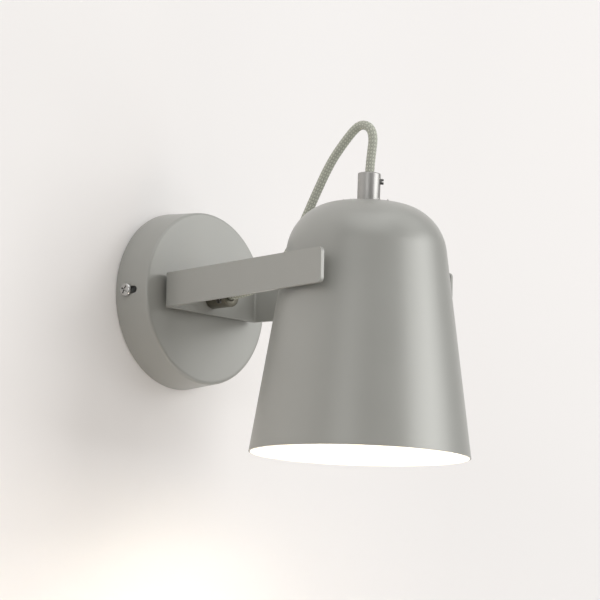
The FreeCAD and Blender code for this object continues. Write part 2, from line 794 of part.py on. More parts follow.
def lampholder_cap():
    bore = nipple_diameter / 2 + running_gap
    neck_foot = holder_top - holder_boss_height / 2
    shoulder_top = neck_foot - holder_wall / 2
    outside = turned_solid([
        Vector(0, 0, holder_joint), Vector(holder_radius, 0, holder_joint),
        Vector(holder_radius, 0, shoulder_top - holder_cone_height),
        Vector(holder_shoulder_radius, 0, shoulder_top), Vector(holder_boss_radius, 0, neck_foot),
        Vector(holder_boss_radius, 0, holder_top), Vector(0, 0, holder_top),
    ])
    inside = turned_solid([
        Vector(0, 0, holder_joint), Vector(holder_radius - holder_wall, 0, holder_joint),
        Vector(holder_radius - holder_wall, 0, boss_foot - holder_cone_height),
        Vector(holder_shoulder_radius - holder_wall / 2, 0, boss_foot), Vector(0, 0, boss_foot),
    ])
    return on_shade(outside.cut(inside).cut(rod(OUT * boss_foot, OUT, bore, holder_boss_height)))


def lampholder_skirt():
    inner = holder_radius - holder_wall
    ledge = inner - holder_ledge
    outside = rod(OUT * (holder_joint - holder_skirt_length), OUT, holder_radius, holder_skirt_length)
    pocket = rod(OUT * insert_foot, OUT, inner, holder_ledge_drop)
    opening = rod(OUT * (holder_joint - holder_skirt_length), OUT, ledge, holder_skirt_length)
    return on_shade(outside.cut(pocket).cut(opening))


def lampholder_insert():
    return on_shade(rod(OUT * insert_foot, OUT, holder_radius - holder_wall - fit_gap, insert_height))


def lampholder_screw_shell():
    return on_shade(ring(OUT * (insert_foot - screw_shell_length), OUT, screw_shell_radius + screw_shell_wall,
                         screw_shell_radius, screw_shell_length))


def lampholder_centre_contact():
    half = contact_thickness / 2
    high = insert_foot - half
    low = insert_foot - contact_drop + half
    points = [Vector(contact_root, 0, high), Vector(contact_knee, 0, high), Vector(-contact_knee / 2, 0, low),
              Vector(-contact_knee, 0, low)]
    return on_shade(bent_strip(points, contact_bend / 2, contact_thickness, contact_width, UP))


def half_turned(shape):
    """The shape and its copy turned half round the shade's axis, as two separate solids."""
    other = shape.copy()
    other.rotate(Vector(0, 0, 0), OUT, 180)
    return Part.makeCompound([shape, other])


def lampholder_terminals():
    middle = Vector(holder_terminal_offset, holder_terminal_shift, insert_top + holder_terminal_size[2] / 2)
    return on_shade(half_turned(block(middle, holder_terminal_size)))


def lampholder_terminal_screws():
    foot = Vector(holder_terminal_offset, holder_screw_shift, insert_top + holder_terminal_size[2])
    return on_shade(half_turned(slotted_pin(foot, OUT, holder_screw_radius, holder_screw_height)))


def lampholder_earth_tag():
    foot = OUT * holder_tag_foot
    disc = rod(foot, OUT, nipple_nut_flats / 2, holder_tag_thickness)
    middle = foot + Vector(0, holder_tag_tab_reach / 2, holder_tag_thickness / 2)
    tab = block(middle, (tag_tab_width, holder_tag_tab_reach, holder_tag_thickness))
    hole = rod(foot, OUT, nipple_diameter / 2 + fit_gap, holder_tag_thickness)
    return on_shade(disc.fuse(tab).removeSplitter().cut(hole))


def lampholder_lock_nut():
    return on_shade(hexagon_nut(OUT * holder_nut_foot, OUT, nipple_nut_flats, holder_nut_height,
                                nipple_diameter / 2 + running_gap))


def lamp_core(side):
    """A core from the flex's end through the nipple to one of the holder's terminals."""
    start = Vector(side * core_circle, 0, 0)
    end = Vector(side * holder_terminal_offset, 0, insert_top + holder_terminal_size[2])
    drop = shade_nipple_foot - end.z
    points = [start + OUT * shade_core_end, start + OUT * (shade_nipple_foot - drop * lamp_first_share),
              end + OUT * (drop * (1 - lamp_last_share)), end]
    return on_shade(core_tube(points))


def lamp_earth_lead():
    """The earth core: down through the nipple, round under the lock nut and up to the earth tag."""
    start = Vector(0, core_circle, 0)
    tab = holder_tag_tab_reach - core_diameter / 2 - fit_gap
    low = shade_nipple_foot - 2 * core_diameter
    points = [start + OUT * shade_core_end, start + OUT * (shade_nipple_foot - core_diameter / 4),
              Vector(0, tab * earth_knee_share, low), Vector(0, tab, low + core_diameter),
              Vector(0, tab, holder_tag_foot)]
    return on_shade(core_tube(points))


def bulb_contact():
    foot = OUT * (bulb_top - bulb_contact_height)
    return on_shade(rod(foot, OUT, bulb_contact_radius, bulb_contact_height))


def bulb_insulator():
    return on_shade(Part.makeCone(insulator_foot_radius, bulb_contact_radius, insulator_height,
                                  OUT * bulb_cap_top, OUT))


def bulb_cap():
    top = bulb_cap_top
    neck = top - insulator_height
    outside = turned_solid([
        Vector(0, 0, bulb_cap_foot), Vector(bulb_cap_radius, 0, bulb_cap_foot),
        Vector(bulb_cap_radius, 0, neck),
        Vector(insulator_foot_radius, 0, top), Vector(0, 0, top),
    ])
    inner = bulb_cap_radius - bulb_cap_wall
    inside = turned_solid([
        Vector(0, 0, bulb_cap_foot), Vector(inner, 0, bulb_cap_foot), Vector(inner, 0, neck - bulb_cap_wall),
        Vector(insulator_foot_radius - bulb_cap_wall, 0, top - bulb_cap_wall),
        Vector(0, 0, top - bulb_cap_wall),
    ])
    return on_shade(outside.cut(inside))


def housing_inside_radius(level):
    """Inside radius of the bulb's cone housing at a level between the cap and the diffuser."""
    share = (bulb_cap_foot - level) / (bulb_cap_foot - diffuser_top)
    return bulb_cap_radius + (diffuser_radius - bulb_cap_radius) * share - housing_wall


def bulb_housing():
    height = bulb_cap_foot - diffuser_top
    foot = OUT * diffuser_top
    outside = Part.makeCone(diffuser_radius, bulb_cap_radius, height, foot, OUT)
    inside = Part.makeCone(diffuser_radius - housing_wall, bulb_cap_radius - housing_wall, height, foot, OUT)
    return on_shade(outside.cut(inside))


def bulb_diffuser():
    """Part of a sphere, cut flat where it meets the housing."""
    outer = bulb_diameter / 2
    centre = OUT * globe_centre
    shell = Part.makeSphere(outer, centre).cut(Part.makeSphere(outer - diffuser_wall, centre))
    above = rod(OUT * diffuser_top, OUT, bulb_diameter, bulb_diameter)
    return on_shade(shell.cut(above))


def led_board_foot():
    return diffuser_top + led_board_setback


def bulb_led_board():
    top = led_board_foot() + led_board_thickness
    radius = housing_inside_radius(top) - fit_gap
    return on_shade(rod(OUT * led_board_foot(), OUT, radius, led_board_thickness))


def bulb_leds():
    chips = []
    for k in range(led_count):
        chip = block(Vector(led_circle_radius, 0, led_board_foot() - led_size[2] / 2), led_size)
        chip.rotate(Vector(0, 0, 0), OUT, 360.0 * k / led_count)
        chips.append(chip)
    return on_shade(Part.makeCompound(chips))


# ---- Flex ----

def flex_points():
    """The flex's route in the lamp's frame, from the base grip to the shade grip."""
    shade_end = pivot + Vector(0, -shade_flex_end * sin(tilt), shade_flex_end * cos(tilt))
    route = [Vector(0, -distance, height) for distance, height in flex_route]
    return [Vector(0, -base_flex_end, 0)] + route + [shade_end]


def flex_cord():
    points = flex_points()
    radii = largest_radii(points)
    tube, length = tube_along(points, radii, flex_diameter / 2)
    section = pi * (flex_diameter / 2) ** 2
    print("flex radii:", [round(radius, 1) for radius in radii])
    print("flex runs:", [round((b - a).Length, 1) for a, b in zip(points, points[1:])])
    print("flex length:", round(length, 1), "volume share:", round(tube.Volume / (section * length), 4))
    return tube


def build():
    first_core, second_core = core_places()[:2]
    yoke_shape = yoke()
    nodes = {
        "wall_bracket": wall_bracket(),
        "canopy_cover": canopy_cover(),
        "canopy_screws": canopy_screws(),
        "earth_screw": earth_screw(),
        "earth_tag": earth_tag(),
        "terminal_block": terminal_block(),
        "terminal_tubes": terminal_tubes(),
        "terminal_screws": terminal_screws(),
        "terminal_block_screw": terminal_block_screw(),
        "live_lead": canopy_core(first_core, -1),
        "neutral_lead": canopy_core(second_core, 1),
        "earth_lead": earth_lead(),
        "yoke_spacer": yoke_spacer(),
        "yoke": yoke_shape,
        "base_nipple": base_nipple(),
        "base_lock_washer": base_lock_washer(),
        "base_nipple_nut": base_nipple_nut(),
        "base_cord_grip": base_cord_grip(),
        "base_grip_screw": base_grip_screw(),
        "pivot_studs": against_arm(stud_tip, stud_diameter / 2, 0, yoke_shape),
        "pivot_spacers": against_arm(bush_face, spacer_diameter / 2, stud_diameter / 2 + running_gap,
                                     yoke_shape),
        "pivot_washers": pivot_rings(washer_face, pivot_washer_diameter, pivot_washer_thickness),
        "pivot_spring_washers": pivot_rings(spring_face, spring_washer_diameter, spring_washer_thickness),
        "pivot_lock_nuts": pivot_lock_nuts(),
        "flex_cord": flex_cord(),
        "shade": shade(),
        "pivot_bushes": pivot_bushes(),
        "shade_nipple": shade_nipple(),
        "shade_lock_washer": shade_lock_washer(),
        "shade_nipple_nut": shade_nipple_nut(),
        "shade_cord_grip": shade_cord_grip(),
        "shade_grip_screw": shade_grip_screw(),
        "lampholder_cap": lampholder_cap(),
        "lampholder_skirt": lampholder_skirt(),
        "lampholder_insert": lampholder_insert(),
        "lampholder_screw_shell": lampholder_screw_shell(),
        "lampholder_centre_contact": lampholder_centre_contact(),
        "lampholder_terminals": lampholder_terminals(),
        "lampholder_terminal_screws": lampholder_terminal_screws(),
        "lampholder_earth_tag": lampholder_earth_tag(),
        "lampholder_lock_nut": lampholder_lock_nut(),
        "lamp_live_lead": lamp_core(1),
        "lamp_neutral_lead": lamp_core(-1),
        "lamp_earth_lead": lamp_earth_lead(),
        "bulb_contact": bulb_contact(),
        "bulb_insulator": bulb_insulator(),
        "bulb_cap": bulb_cap(),
        "bulb_housing": bulb_housing(),
        "bulb_diffuser": bulb_diffuser(),
        "bulb_led_board": bulb_led_board(),
        "bulb_leds": bulb_leds(),
    }
    os.makedirs("parts", exist_ok=True)
    for name, shape in nodes.items():
        shape.exportStep("parts/" + name + ".step")
        box = shape.BoundBox
        print(f"{name:28s} solids {len(shape.Solids)} valid {shape.isValid()} volume {shape.Volume:9.1f}"
              f"  x {box.XMin:7.2f} {box.XMax:7.2f}  y {box.YMin:8.2f} {box.YMax:7.2f}"
              f"  z {box.ZMin:8.2f} {box.ZMax:7.2f}")


build()
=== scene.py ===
import bmesh, bpy, json
import numpy as np
from mathutils import Matrix


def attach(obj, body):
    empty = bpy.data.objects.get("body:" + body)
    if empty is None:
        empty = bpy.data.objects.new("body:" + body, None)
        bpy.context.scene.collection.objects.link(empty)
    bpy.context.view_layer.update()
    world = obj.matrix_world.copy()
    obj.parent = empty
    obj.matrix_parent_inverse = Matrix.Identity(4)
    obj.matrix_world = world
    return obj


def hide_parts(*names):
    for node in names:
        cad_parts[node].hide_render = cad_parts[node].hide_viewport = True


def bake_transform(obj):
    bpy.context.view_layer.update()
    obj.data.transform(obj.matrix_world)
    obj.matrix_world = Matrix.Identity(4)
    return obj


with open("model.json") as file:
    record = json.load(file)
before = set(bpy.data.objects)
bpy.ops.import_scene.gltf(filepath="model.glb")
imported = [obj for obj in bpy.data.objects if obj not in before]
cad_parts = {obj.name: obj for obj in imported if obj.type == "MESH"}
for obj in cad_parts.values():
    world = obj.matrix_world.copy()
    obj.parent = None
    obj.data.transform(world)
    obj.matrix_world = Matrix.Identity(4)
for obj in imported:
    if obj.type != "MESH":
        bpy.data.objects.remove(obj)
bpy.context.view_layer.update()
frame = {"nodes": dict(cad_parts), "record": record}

# The lamp's own sizes, in millimetres and degrees, as the CAD has them
MM = 0.001
PIVOT_DISTANCE = 168.75
REST_TILT = np.radians(1.44)
CONE = np.radians(8.43)
SPLAY = np.radians(7.7)
RIM_RADIUS, RIM_DROP, SHOULDER_RISE, SHOULDER_RADIUS = 72.3, 115.0, 20.2, 35.0
CROWN_RADIUS, CROWN_FLAT_RADIUS, SHADE_WALL = 115.0, 13.0, 1.0
VENT_RADIUS, VENT_CIRCLE, VENT_ANGLES = 4.0, 18.0, np.radians([75.0, 165.0, 255.0, 345.0])
SPIGOT_HOLE_RADIUS = 4.45
CANOPY_RADIUS, CANOPY_FRONT_RADIUS, CANOPY_DEPTH, CANOPY_WALL, CANOPY_EDGE = 60.0, 58.3, 27.0, 1.2, 2.0
SLOT_HALF_WIDTH, SLOT_HALF_LENGTH, SLOT_DEPTH = 2.45, 5.5, 12.55
NIPPLE_HOLE_RADIUS = 5.1
BAND_HEIGHT, BAND_THICKNESS, BASE_WIDTH = 23.0, 2.5, 89.315
BEND_RADIUS, ARM_REACH, ARM_CORNER = 1.5, 188.0, 3.0
BUSH_FACE, ARM_INSIDE = 57.794, 60.894      # from the lamp's middle plane, on the pivot line
SPACER_RING_RADIUS, SPACER_RING_THICKNESS = 10.0, 3.0
GRIP_RADIUS, GRIP_EDGE, FLEX_DIAMETER = 7.5, 0.8, 6.0
BASE_GRIP_SEAT, BASE_GRIP_LENGTH, SHADE_GRIP_LENGTH = 32.5, 17.5, 19.0


# ---- Camera, at the photograph's place: 2.6 m off, a little below the lamp and to its left ----

def stand_camera():
    """Looks along one yaw, pitch and roll: right and up are first level, then turned by the roll."""
    yaw, pitch, roll, distance = np.radians(48.29), np.radians(-8.65), np.radians(1.0), 2.6
    aim, focal_length, sensor = np.array([35.47, -80.0, -1.16]) * MM, 231.43, 36.0
    back = np.array([-np.sin(yaw) * np.cos(pitch), -np.cos(yaw) * np.cos(pitch), np.sin(pitch)])
    level = np.array([np.cos(yaw), -np.sin(yaw), 0.0])
    rise = np.cross(back, level)
    right = np.cos(roll) * level + np.sin(roll) * rise
    up = np.cos(roll) * rise - np.sin(roll) * level
    place = aim + distance * back
    lens = bpy.data.cameras.new("photo_camera")
    lens.lens, lens.sensor_width = focal_length, sensor
    camera = bpy.data.objects.new("photo_camera", lens)
    bpy.context.scene.collection.objects.link(camera)
    turn = np.eye(4)
    turn[:3, 0], turn[:3, 1], turn[:3, 2], turn[:3, 3] = right, up, back, place
    camera.matrix_world = Matrix(turn.tolist())
    bpy.context.scene.camera = camera


stand_camera()


# ---- Materials ----

class Wire:
    """One value in a material's node tree. Arithmetic on it adds the Math node that does it."""

    def __init__(self, finish, socket):
        self.finish, self.socket = finish, socket

    def _maths(self, operation, first, second):
        return self.finish.node("ShaderNodeMath", {"operation": operation}, {0: first, 1: second})

    def __add__(self, other): return self._maths("ADD", self, other)
    def __radd__(self, other): return self._maths("ADD", other, self)
    def __sub__(self, other): return self._maths("SUBTRACT", self, other)
    def __rsub__(self, other): return self._maths("SUBTRACT", other, self)
    def __mul__(self, other): return self._maths("MULTIPLY", self, other)
    def __rmul__(self, other): return self._maths("MULTIPLY", other, self)
    def __truediv__(self, other): return self._maths("DIVIDE", self, other)
    def __mod__(self, other): return self._maths("FLOORED_MODULO", self, other)


class Finish:
    """A material being made: its node tree, its shader and the few calls that fill them."""

    def __init__(self, name, **constants):
        self.material = bpy.data.materials.new(name)
        self.material.use_nodes = True
        self.tree = self.material.node_tree
        self.tree.nodes.clear()
        self.shader = self.tree.nodes.new("ShaderNodeBsdfPrincipled")
        output = self.tree.nodes.new("ShaderNodeOutputMaterial")
        self.tree.links.new(self.shader.outputs[0], output.inputs["Surface"])
        self.set(**constants)

    def _feed(self, socket, value):
        if isinstance(value, Wire):
            self.tree.links.new(value.socket, socket)
        elif isinstance(value, (tuple, list)) and len(value) == 3 and socket.type == "RGBA":
            socket.default_value = (*value, 1.0)
        else:
            socket.default_value = value

    def node(self, kind, settings=None, values=None, output=0):
        """Adds a node: its settings first, then the values or links of its sockets, by name or number."""
        made = self.tree.nodes.new(kind)
        for key, value in (settings or {}).items():
            setattr(made, key, value)
        for key, value in (values or {}).items():
            self._feed(made.inputs[key], value)
        return Wire(self, made.outputs[output])

    def set(self, **sockets):
        """Sets the shader's sockets, with underscores for the spaces in their names."""
        for key, value in sockets.items():
            self._feed(self.shader.inputs[key.replace("_", " ")], value)

    def place(self, stretch=(1.0, 1.0, 1.0)):
        """Object coordinates in metres, stretched for grain that runs one way."""
        spot = self.node("ShaderNodeTexCoord", output="Object")
        return self.node("ShaderNodeMapping", {}, {"Vector": spot, "Scale": stretch})

    def axes(self, vector):
        split = self.tree.nodes.new("ShaderNodeSeparateXYZ")
        self._feed(split.inputs[0], vector)
        return [Wire(self, socket) for socket in split.outputs]

    def noise(self, where, scale, detail=2.0, rough=0.5):
        return self.node("ShaderNodeTexNoise", {}, {"Vector": where, "Scale": scale, "Detail": detail,
                                                    "Roughness": rough})

    def sine(self, value):
        return self.node("ShaderNodeMath", {"operation": "SINE"}, {0: value})

    def blend(self, share, low, high):
        """A colour between two, by a share from 0 to 1."""
        mix = self.tree.nodes.new("ShaderNodeMix")
        mix.data_type = "RGBA"
        self._feed(mix.inputs["Factor"], share)
        colours = [socket for socket in mix.inputs if socket.type == "RGBA"]
        self._feed(colours[0], low)
        self._feed(colours[1], high)
        return Wire(self, [socket for socket in mix.outputs if socket.type == "RGBA"][0])

    def bump(self, height, strength, distance):
        return self.node("ShaderNodeBump", {}, {"Height": height, "Strength": strength, "Distance": distance})


def powder_coat(name, colour, roughness, metal=0.0):
    """Satin powder coat: fine orange-peel bump, cloudy tone and a slightly uneven gloss."""
    finish = Finish(name, Specular_IOR_Level=0.6, Metallic=metal)
    where = finish.place()
    cloud = finish.noise(where, 38.0, 3.0)
    peel = finish.noise(where, 1500.0, 2.0)
    dust = finish.noise(where, 5200.0, 1.0)
    darker, lighter = [tuple(part * share for part in colour) for share in (0.955, 1.045)]
    finish.set(Base_Color=finish.blend(0.65 * cloud + 0.35 * dust, darker, lighter),
               Roughness=roughness - 0.03 + 0.06 * cloud,
               Normal=finish.bump(peel + 0.4 * dust, 0.22, 0.00009))
    return finish


def satin_metal(name, colour, roughness, stretch):
    """Brushed plate: hair lines are noise stretched along the brushing, in tone, gloss and bump."""
    finish = Finish(name, Metallic=1.0)
    hair = finish.noise(finish.place(stretch), 420.0, 4.0, 0.65)
    cloud = finish.noise(finish.place(), 90.0, 2.0)
    darker, lighter = [tuple(part * share for part in colour) for share in (0.82, 1.1)]
    finish.set(Base_Color=finish.blend(0.5 * hair + 0.5 * cloud, darker, lighter),
               Roughness=roughness - 0.05 + 0.1 * hair + 0.03 * cloud,
               Normal=finish.bump(hair, 0.25, 0.00006))
    return finish


def plated(name, colour, roughness, spangle=160.0):
    """Plated or plain metal: a soft spangle in tone and gloss with a fine bump."""
    finish = Finish(name, Metallic=1.0)
    where = finish.place()
    grain = finish.noise(where, spangle, 3.0, 0.6)
    fine = finish.noise(where, 2400.0, 2.0)
    darker, lighter = [tuple(part * share for part in colour) for share in (0.8, 1.12)]
    finish.set(Base_Color=finish.blend(grain, darker, lighter), Roughness=roughness - 0.08 + 0.16 * grain,
               Normal=finish.bump(fine, 0.2, 0.00005))
    return finish


def threaded_metal(name, colour, roughness, pitch):
    """Rolled screw shell: a sine along the lamp's height is the thread's bump and shading."""
    finish = Finish(name, Metallic=1.0)
    height = finish.axes(finish.place())[2]
    wave = 0.5 + 0.5 * finish.sine(height * (2 * np.pi / pitch))
    grain = finish.noise(finish.place(), 700.0, 2.0)
    darker = tuple(part * 0.7 for part in colour)
    finish.set(Base_Color=finish.blend(0.8 * wave + 0.2 * grain, darker, colour),
               Roughness=roughness + 0.1 * grain, Normal=finish.bump(wave, 0.8, 0.0009))
    return finish


def moulded(name, colour, roughness, grain=900.0, glow=None):
    """Moulded plastic: a fine spark-eroded bump, slight cloud in tone and gloss."""
    finish = Finish(name, Specular_IOR_Level=0.45)
    where = finish.place()
    cloud = finish.noise(where, 60.0, 2.0)
    fine = finish.noise(where, grain, 2.0)
    darker, lighter = [tuple(part * share for part in colour) for share in (0.94, 1.04)]
    finish.set(Base_Color=finish.blend(cloud, darker, lighter), Roughness=roughness - 0.04 + 0.08 * fine,
               Normal=finish.bump(fine, 0.2, 0.00006))
    if glow:
        tint, strength = glow
        finish.set(Emission_Strength=strength, Emission_Color=finish.blend(cloud, tint, (1.0, 0.97, 0.9)))
    return finish


def two_tone_core(name):
    """Green and yellow insulation: a thresholded sine of height and width gives the slanted stripes."""
    finish = Finish(name, Specular_IOR_Level=0.45)
    across, out, up = finish.axes(finish.place())
    stripe = 0.5 + 2.5 * finish.sine((across + out + 0.6 * up) * 1900.0)
    share = finish.node("ShaderNodeClamp", {}, {"Value": stripe})
    fine = finish.noise(finish.place(), 1400.0, 2.0)
    finish.set(Base_Color=finish.blend(share, (0.05, 0.3, 0.07), (0.85, 0.72, 0.06)),
               Roughness=0.4 + 0.12 * fine, Normal=finish.bump(fine, 0.15, 0.00005))
    return finish


def braided(name):
    """Textile braid on the flex's own UV map, in turns round it and millimetres along it.

    Two families of strands run up and down the flex as U plus and minus V. Each strand is half a
    sine across its width, and a checker of their whole numbers says which family lies on top.
    The colour is partly painted shade and light: darker down the strands' sides and between them,
    and lighter on the family that lies on top.
    """
    finish = Finish(name, Specular_IOR_Level=0.25)
    mapped = finish.node("ShaderNodeUVMap", {"uv_map": "weave"})
    turn, along, _ = finish.axes(mapped)
    strands, lay = 10.0, 2.4

    def whole(value):
        return finish.node("ShaderNodeMath", {"operation": "FLOOR"}, {0: value})

    rising, falling = turn * strands + along / lay, turn * strands - along / lay
    hump_rising = finish.sine((rising - whole(rising)) * np.pi)
    hump_falling = finish.sine((falling - whole(falling)) * np.pi)
    over = (whole(rising) + whole(falling)) % 2.0
    height = over * hump_rising + (1.0 - over) * hump_falling
    # Painted shade and light: the colour darkens down each strand's sides and between strands, and the family
    # on top is painted lighter
    painted_strand_light = 0.5 * height + 0.3 * over
    fibre = finish.noise(finish.place(), 2600.0, 3.0, 0.7)
    fade = finish.noise(finish.place(), 55.0, 2.0)
    tone = finish.blend(painted_strand_light + 0.3 * fibre, (0.15, 0.157, 0.125), (0.74, 0.755, 0.66))
    finish.set(Base_Color=finish.blend(0.3 * fade, tone, (0.34, 0.355, 0.29)), Roughness=0.55 + 0.2 * fibre,
               Normal=finish.bump(height + 0.35 * fibre, 0.75, 0.00025))
    return finish


GLOW = 15.0
coats = {
    "painted_steel": powder_coat("warm_grey_coat", (0.369, 0.371, 0.349), 0.37, metal=0.2),
    "shade_lining": powder_coat("white_lining", (0.86, 0.85, 0.82), 0.55),
    "satin_nickel": satin_metal("satin_nickel", (0.44, 0.435, 0.42), 0.4, (1.0, 1.0, 0.06)),
    # Painted shade: a darker copy of the satin nickel, brushed along the lamp's depth, for the base grip
    # between the yoke's arms
    "shaded_nickel": satin_metal("shaded_nickel", (0.2, 0.19, 0.155), 0.42, (1.0, 0.06, 1.0)),
    "zinc_steel": plated("zinc_plate", (0.56, 0.57, 0.58), 0.36),
    "bright_zinc": plated("bright_zinc", (0.6, 0.6, 0.59), 0.2, 600.0),
    "dark_steel": plated("dark_steel", (0.16, 0.16, 0.155), 0.32, 600.0),
    "brass": plated("turned_brass", (0.72, 0.53, 0.22), 0.3, 320.0),
    "nylon": moulded("nylon", (0.62, 0.62, 0.58), 0.5),
    "holder_plastic": moulded("black_thermoset", (0.03, 0.03, 0.033), 0.35),
    "holder_insert": moulded("cream_thermoset", (0.74, 0.71, 0.62), 0.45),
    "nickel_shell": threaded_metal("rolled_shell", (0.68, 0.66, 0.61), 0.25, 0.0036),
    "block_plastic": moulded("natural_polyamide", (0.78, 0.77, 0.72), 0.42),
    "brown_core": moulded("brown_insulation", (0.13, 0.05, 0.025), 0.42),
    "blue_core": moulded("blue_insulation", (0.03, 0.11, 0.42), 0.42),
    "green_yellow_core": two_tone_core("earth_insulation"),
    "braid": braided("grey_green_braid"),
    "bulb_shell": moulded("white_polycarbonate", (0.84, 0.84, 0.82), 0.4),
    "bulb_opal": moulded("lit_opal", (0.93, 0.91, 0.85), 0.3, 600.0, ((1.0, 0.84, 0.6), GLOW)),
    "bulb_metal": threaded_metal("bulb_thread", (0.66, 0.66, 0.65), 0.3, 0.0036),
    "bulb_black": moulded("cap_insulator", (0.02, 0.02, 0.022), 0.25),
    "led_yellow": moulded("phosphor", (0.85, 0.62, 0.12), 0.45),
}
for entry in frame["record"]["subparts"]:
    mesh = frame["nodes"][entry["node"]].data
    mesh.materials.clear()
    mesh.materials.append(coats[entry["material_slot"]].material)


# ---- Meshes ----

def steps(marks, longest):
    """Parameter values that hit every mark, evenly spaced between them by at most longest."""
    runs = [np.linspace(a, b, int(np.ceil((b - a) / longest)) + 1)[:-1] for a, b in zip(marks, marks[1:])]
    return np.concatenate(runs + [marks[-1:]])


def skin(name, points, coats_used, ring=False, loop=False, keep=None, uv=None, flip=False):
    """Turns a grid of points (rows by columns, millimetres) into a piece.

    Each cell of four neighbouring points is a face. ring joins the last column to the first and
    loop the last row to the first. keep drops cells, and coincident points are joined, which
    closes poles. uv gives two numbers for each corner of the grid.
    """
    rows, columns = points.shape[:2]
    down = np.arange(rows if loop else rows - 1)[:, None]
    across = np.arange(columns if ring else columns - 1)[None, :]
    lower, next_across = (down + 1) % rows, (across + 1) % columns
    corners = [down * columns + across, down * columns + next_across,
               lower * columns + next_across, lower * columns + across]
    cells = np.stack([np.broadcast_to(c, (down.size, across.size)) for c in corners], axis=-1)
    kept = np.ones(cells.shape[:2], bool) if keep is None else keep
    faces = cells[kept][:, ::-1] if flip else cells[kept]
    used, faces = np.unique(faces, return_inverse=True)
    mesh = bpy.data.meshes.new(name)
    mesh.from_pydata((points.reshape(-1, 3)[used] * MM).tolist(), [], faces.reshape(-1, 4).tolist())
    if uv is not None:
        far = [(0, 0), (0, 1), (1, 1), (1, 0)]
        grid = np.stack([uv[r:rows - 1 + r, c:columns + c] for r, c in far], axis=2)
        grid = grid[:, :, ::-1] if flip else grid
        layer = mesh.uv_layers.new(name="weave")
        layer.data.foreach_set("uv", grid.reshape(-1))
    for coat in coats_used:
        mesh.materials.append(coats[coat].material)
    piece = bpy.data.objects.new(name, mesh)
    bpy.context.scene.collection.objects.link(piece)
    mesh.polygons.foreach_set("use_smooth", np.ones(len(mesh.polygons), bool))
    mesh.update()
    return piece


# Degrees between two faces: from the first on an edge stays crisp, from the second on it is rounded
SHARP_ANGLE, ROUNDED_ANGLE = 35.0, 40.0


def tidy(piece):
    """Joins coincident points, turns all faces outwards and marks the edges that stay crisp."""
    work = bmesh.new()
    work.from_mesh(piece.data)
    bmesh.ops.remove_doubles(work, verts=work.verts, dist=1e-7)
    bmesh.ops.recalc_face_normals(work, faces=work.faces)
    work.to_mesh(piece.data)
    work.free()
    piece.data.set_sharp_from_angle(angle=np.radians(SHARP_ANGLE))
    piece.data.update()
    return piece


def thicken(piece, thickness, offset, edge, inner_coat=0):
    """Gives a sheet its wall, with a rounded edge wherever the wall ends or a hole is cut."""
    wall = piece.modifiers.new("wall", "SOLIDIFY")
    wall.thickness, wall.offset = thickness * MM, offset
    wall.material_offset = inner_coat
    rounding = piece.modifiers.new("rounding", "BEVEL")
    rounding.width, rounding.segments, rounding.limit_method = edge * MM, 2, "ANGLE"
    rounding.angle_limit, rounding.harden_normals = np.radians(ROUNDED_ANGLE), True


def on_shade(points):
    """Moves points from the shade's own frame to the pivots, turned by the shade's rest tilt."""
    x, y, z = np.moveaxis(points, -1, 0)
    turned = [x, y * np.cos(REST_TILT) - z * np.sin(REST_TILT), y * np.sin(REST_TILT) + z * np.cos(REST_TILT)]
    return np.stack(turned, axis=-1) + [0.0, -PIVOT_DISTANCE, 0.0]


def off_wall(points):
    """Turns points made as (across, up, distance from the wall) into the lamp's frame."""
    across, up, out = np.moveaxis(points, -1, 0)
    return np.stack([across, -out, up], axis=-1)


SPREAD = 1.9        # how far round a hole the grid gives way, as a share of its square block


def open_up(cell_a, cell_b, real_a, real_b, half_length, radius, block):
    """Makes a round or oblong hole in a grid.

    The hole's middle line runs from -half_length to half_length along b. A square block of cells
    round that line is cut out, and the points from its edge to SPREAD times its size slide along
    rays from the line, so that the block's square edge becomes the hole's round one. Returns the
    new real places and the points that lie in the block.
    """
    middle = np.clip(cell_b, -half_length, half_length)
    away = np.maximum(np.abs(cell_a), np.abs(cell_b - middle)) / block
    spine = np.clip(real_b, -half_length, half_length)
    reach = np.maximum(np.hypot(real_a, real_b - spine), 1e-9)
    share = np.clip((away - 1) / (SPREAD - 1), 0, 1)
    scale = share + (1 - share) * radius / reach
    return real_a * scale, spine + (real_b - spine) * scale, away < 1 + 1e-6


def whole_cells(inside, ring=True):
    """Cells whose four corners all lie in a block."""
    beside = np.roll(inside, -1, axis=1) if ring else inside[:, 1:]
    near = inside if ring else inside[:, :-1]
    both = near & beside
    return both[:-1] & both[1:]


def about(angle, middle):
    """The angle from middle, between minus and plus half a turn."""
    return (angle - middle + np.pi) % (2 * np.pi) - np.pi


# ---- Flex: from the base grip up over the shade and down into its grip ----

flex_route = [
    (40.0, 0.0), (57.5, 0.0), (77.0, 4.0), (96.0, 17.5), (110.5, 38.0), (123.8, 61.0), (136.5, 81.3),
    (149.2, 94.4), (159.4, 103.0), (166.5, 103.4), (171.8, 99.4), (173.5, 93.0), (172.2, 84.6),
    (170.6, 71.5), (170.23, 58.78),
]


def flex_line():
    """The flex's middle line: a NURBS of degree two with the route's points as its controls."""
    curve = bpy.data.curves.new("flex_line", "CURVE")
    curve.dimensions, curve.resolution_u = "3D", 40
    spline = curve.splines.new("NURBS")
    spline.points.add(len(flex_route) - 1)
    controls = np.array([(0.0, -out * MM, up * MM, 1.0) for out, up in flex_route])
    spline.points.foreach_set("co", controls.reshape(-1))
    spline.order_u, spline.use_endpoint_u = 3, True
    holder = bpy.data.objects.new("flex_line", curve)
    bpy.context.scene.collection.objects.link(holder)
    bpy.context.view_layer.update()
    line = bpy.data.meshes.new_from_object(holder)
    points = np.empty(len(line.vertices) * 3)
    line.vertices.foreach_get("co", points)
    bpy.data.objects.remove(holder)
    bpy.data.meshes.remove(line)
    return points.reshape(-1, 3)


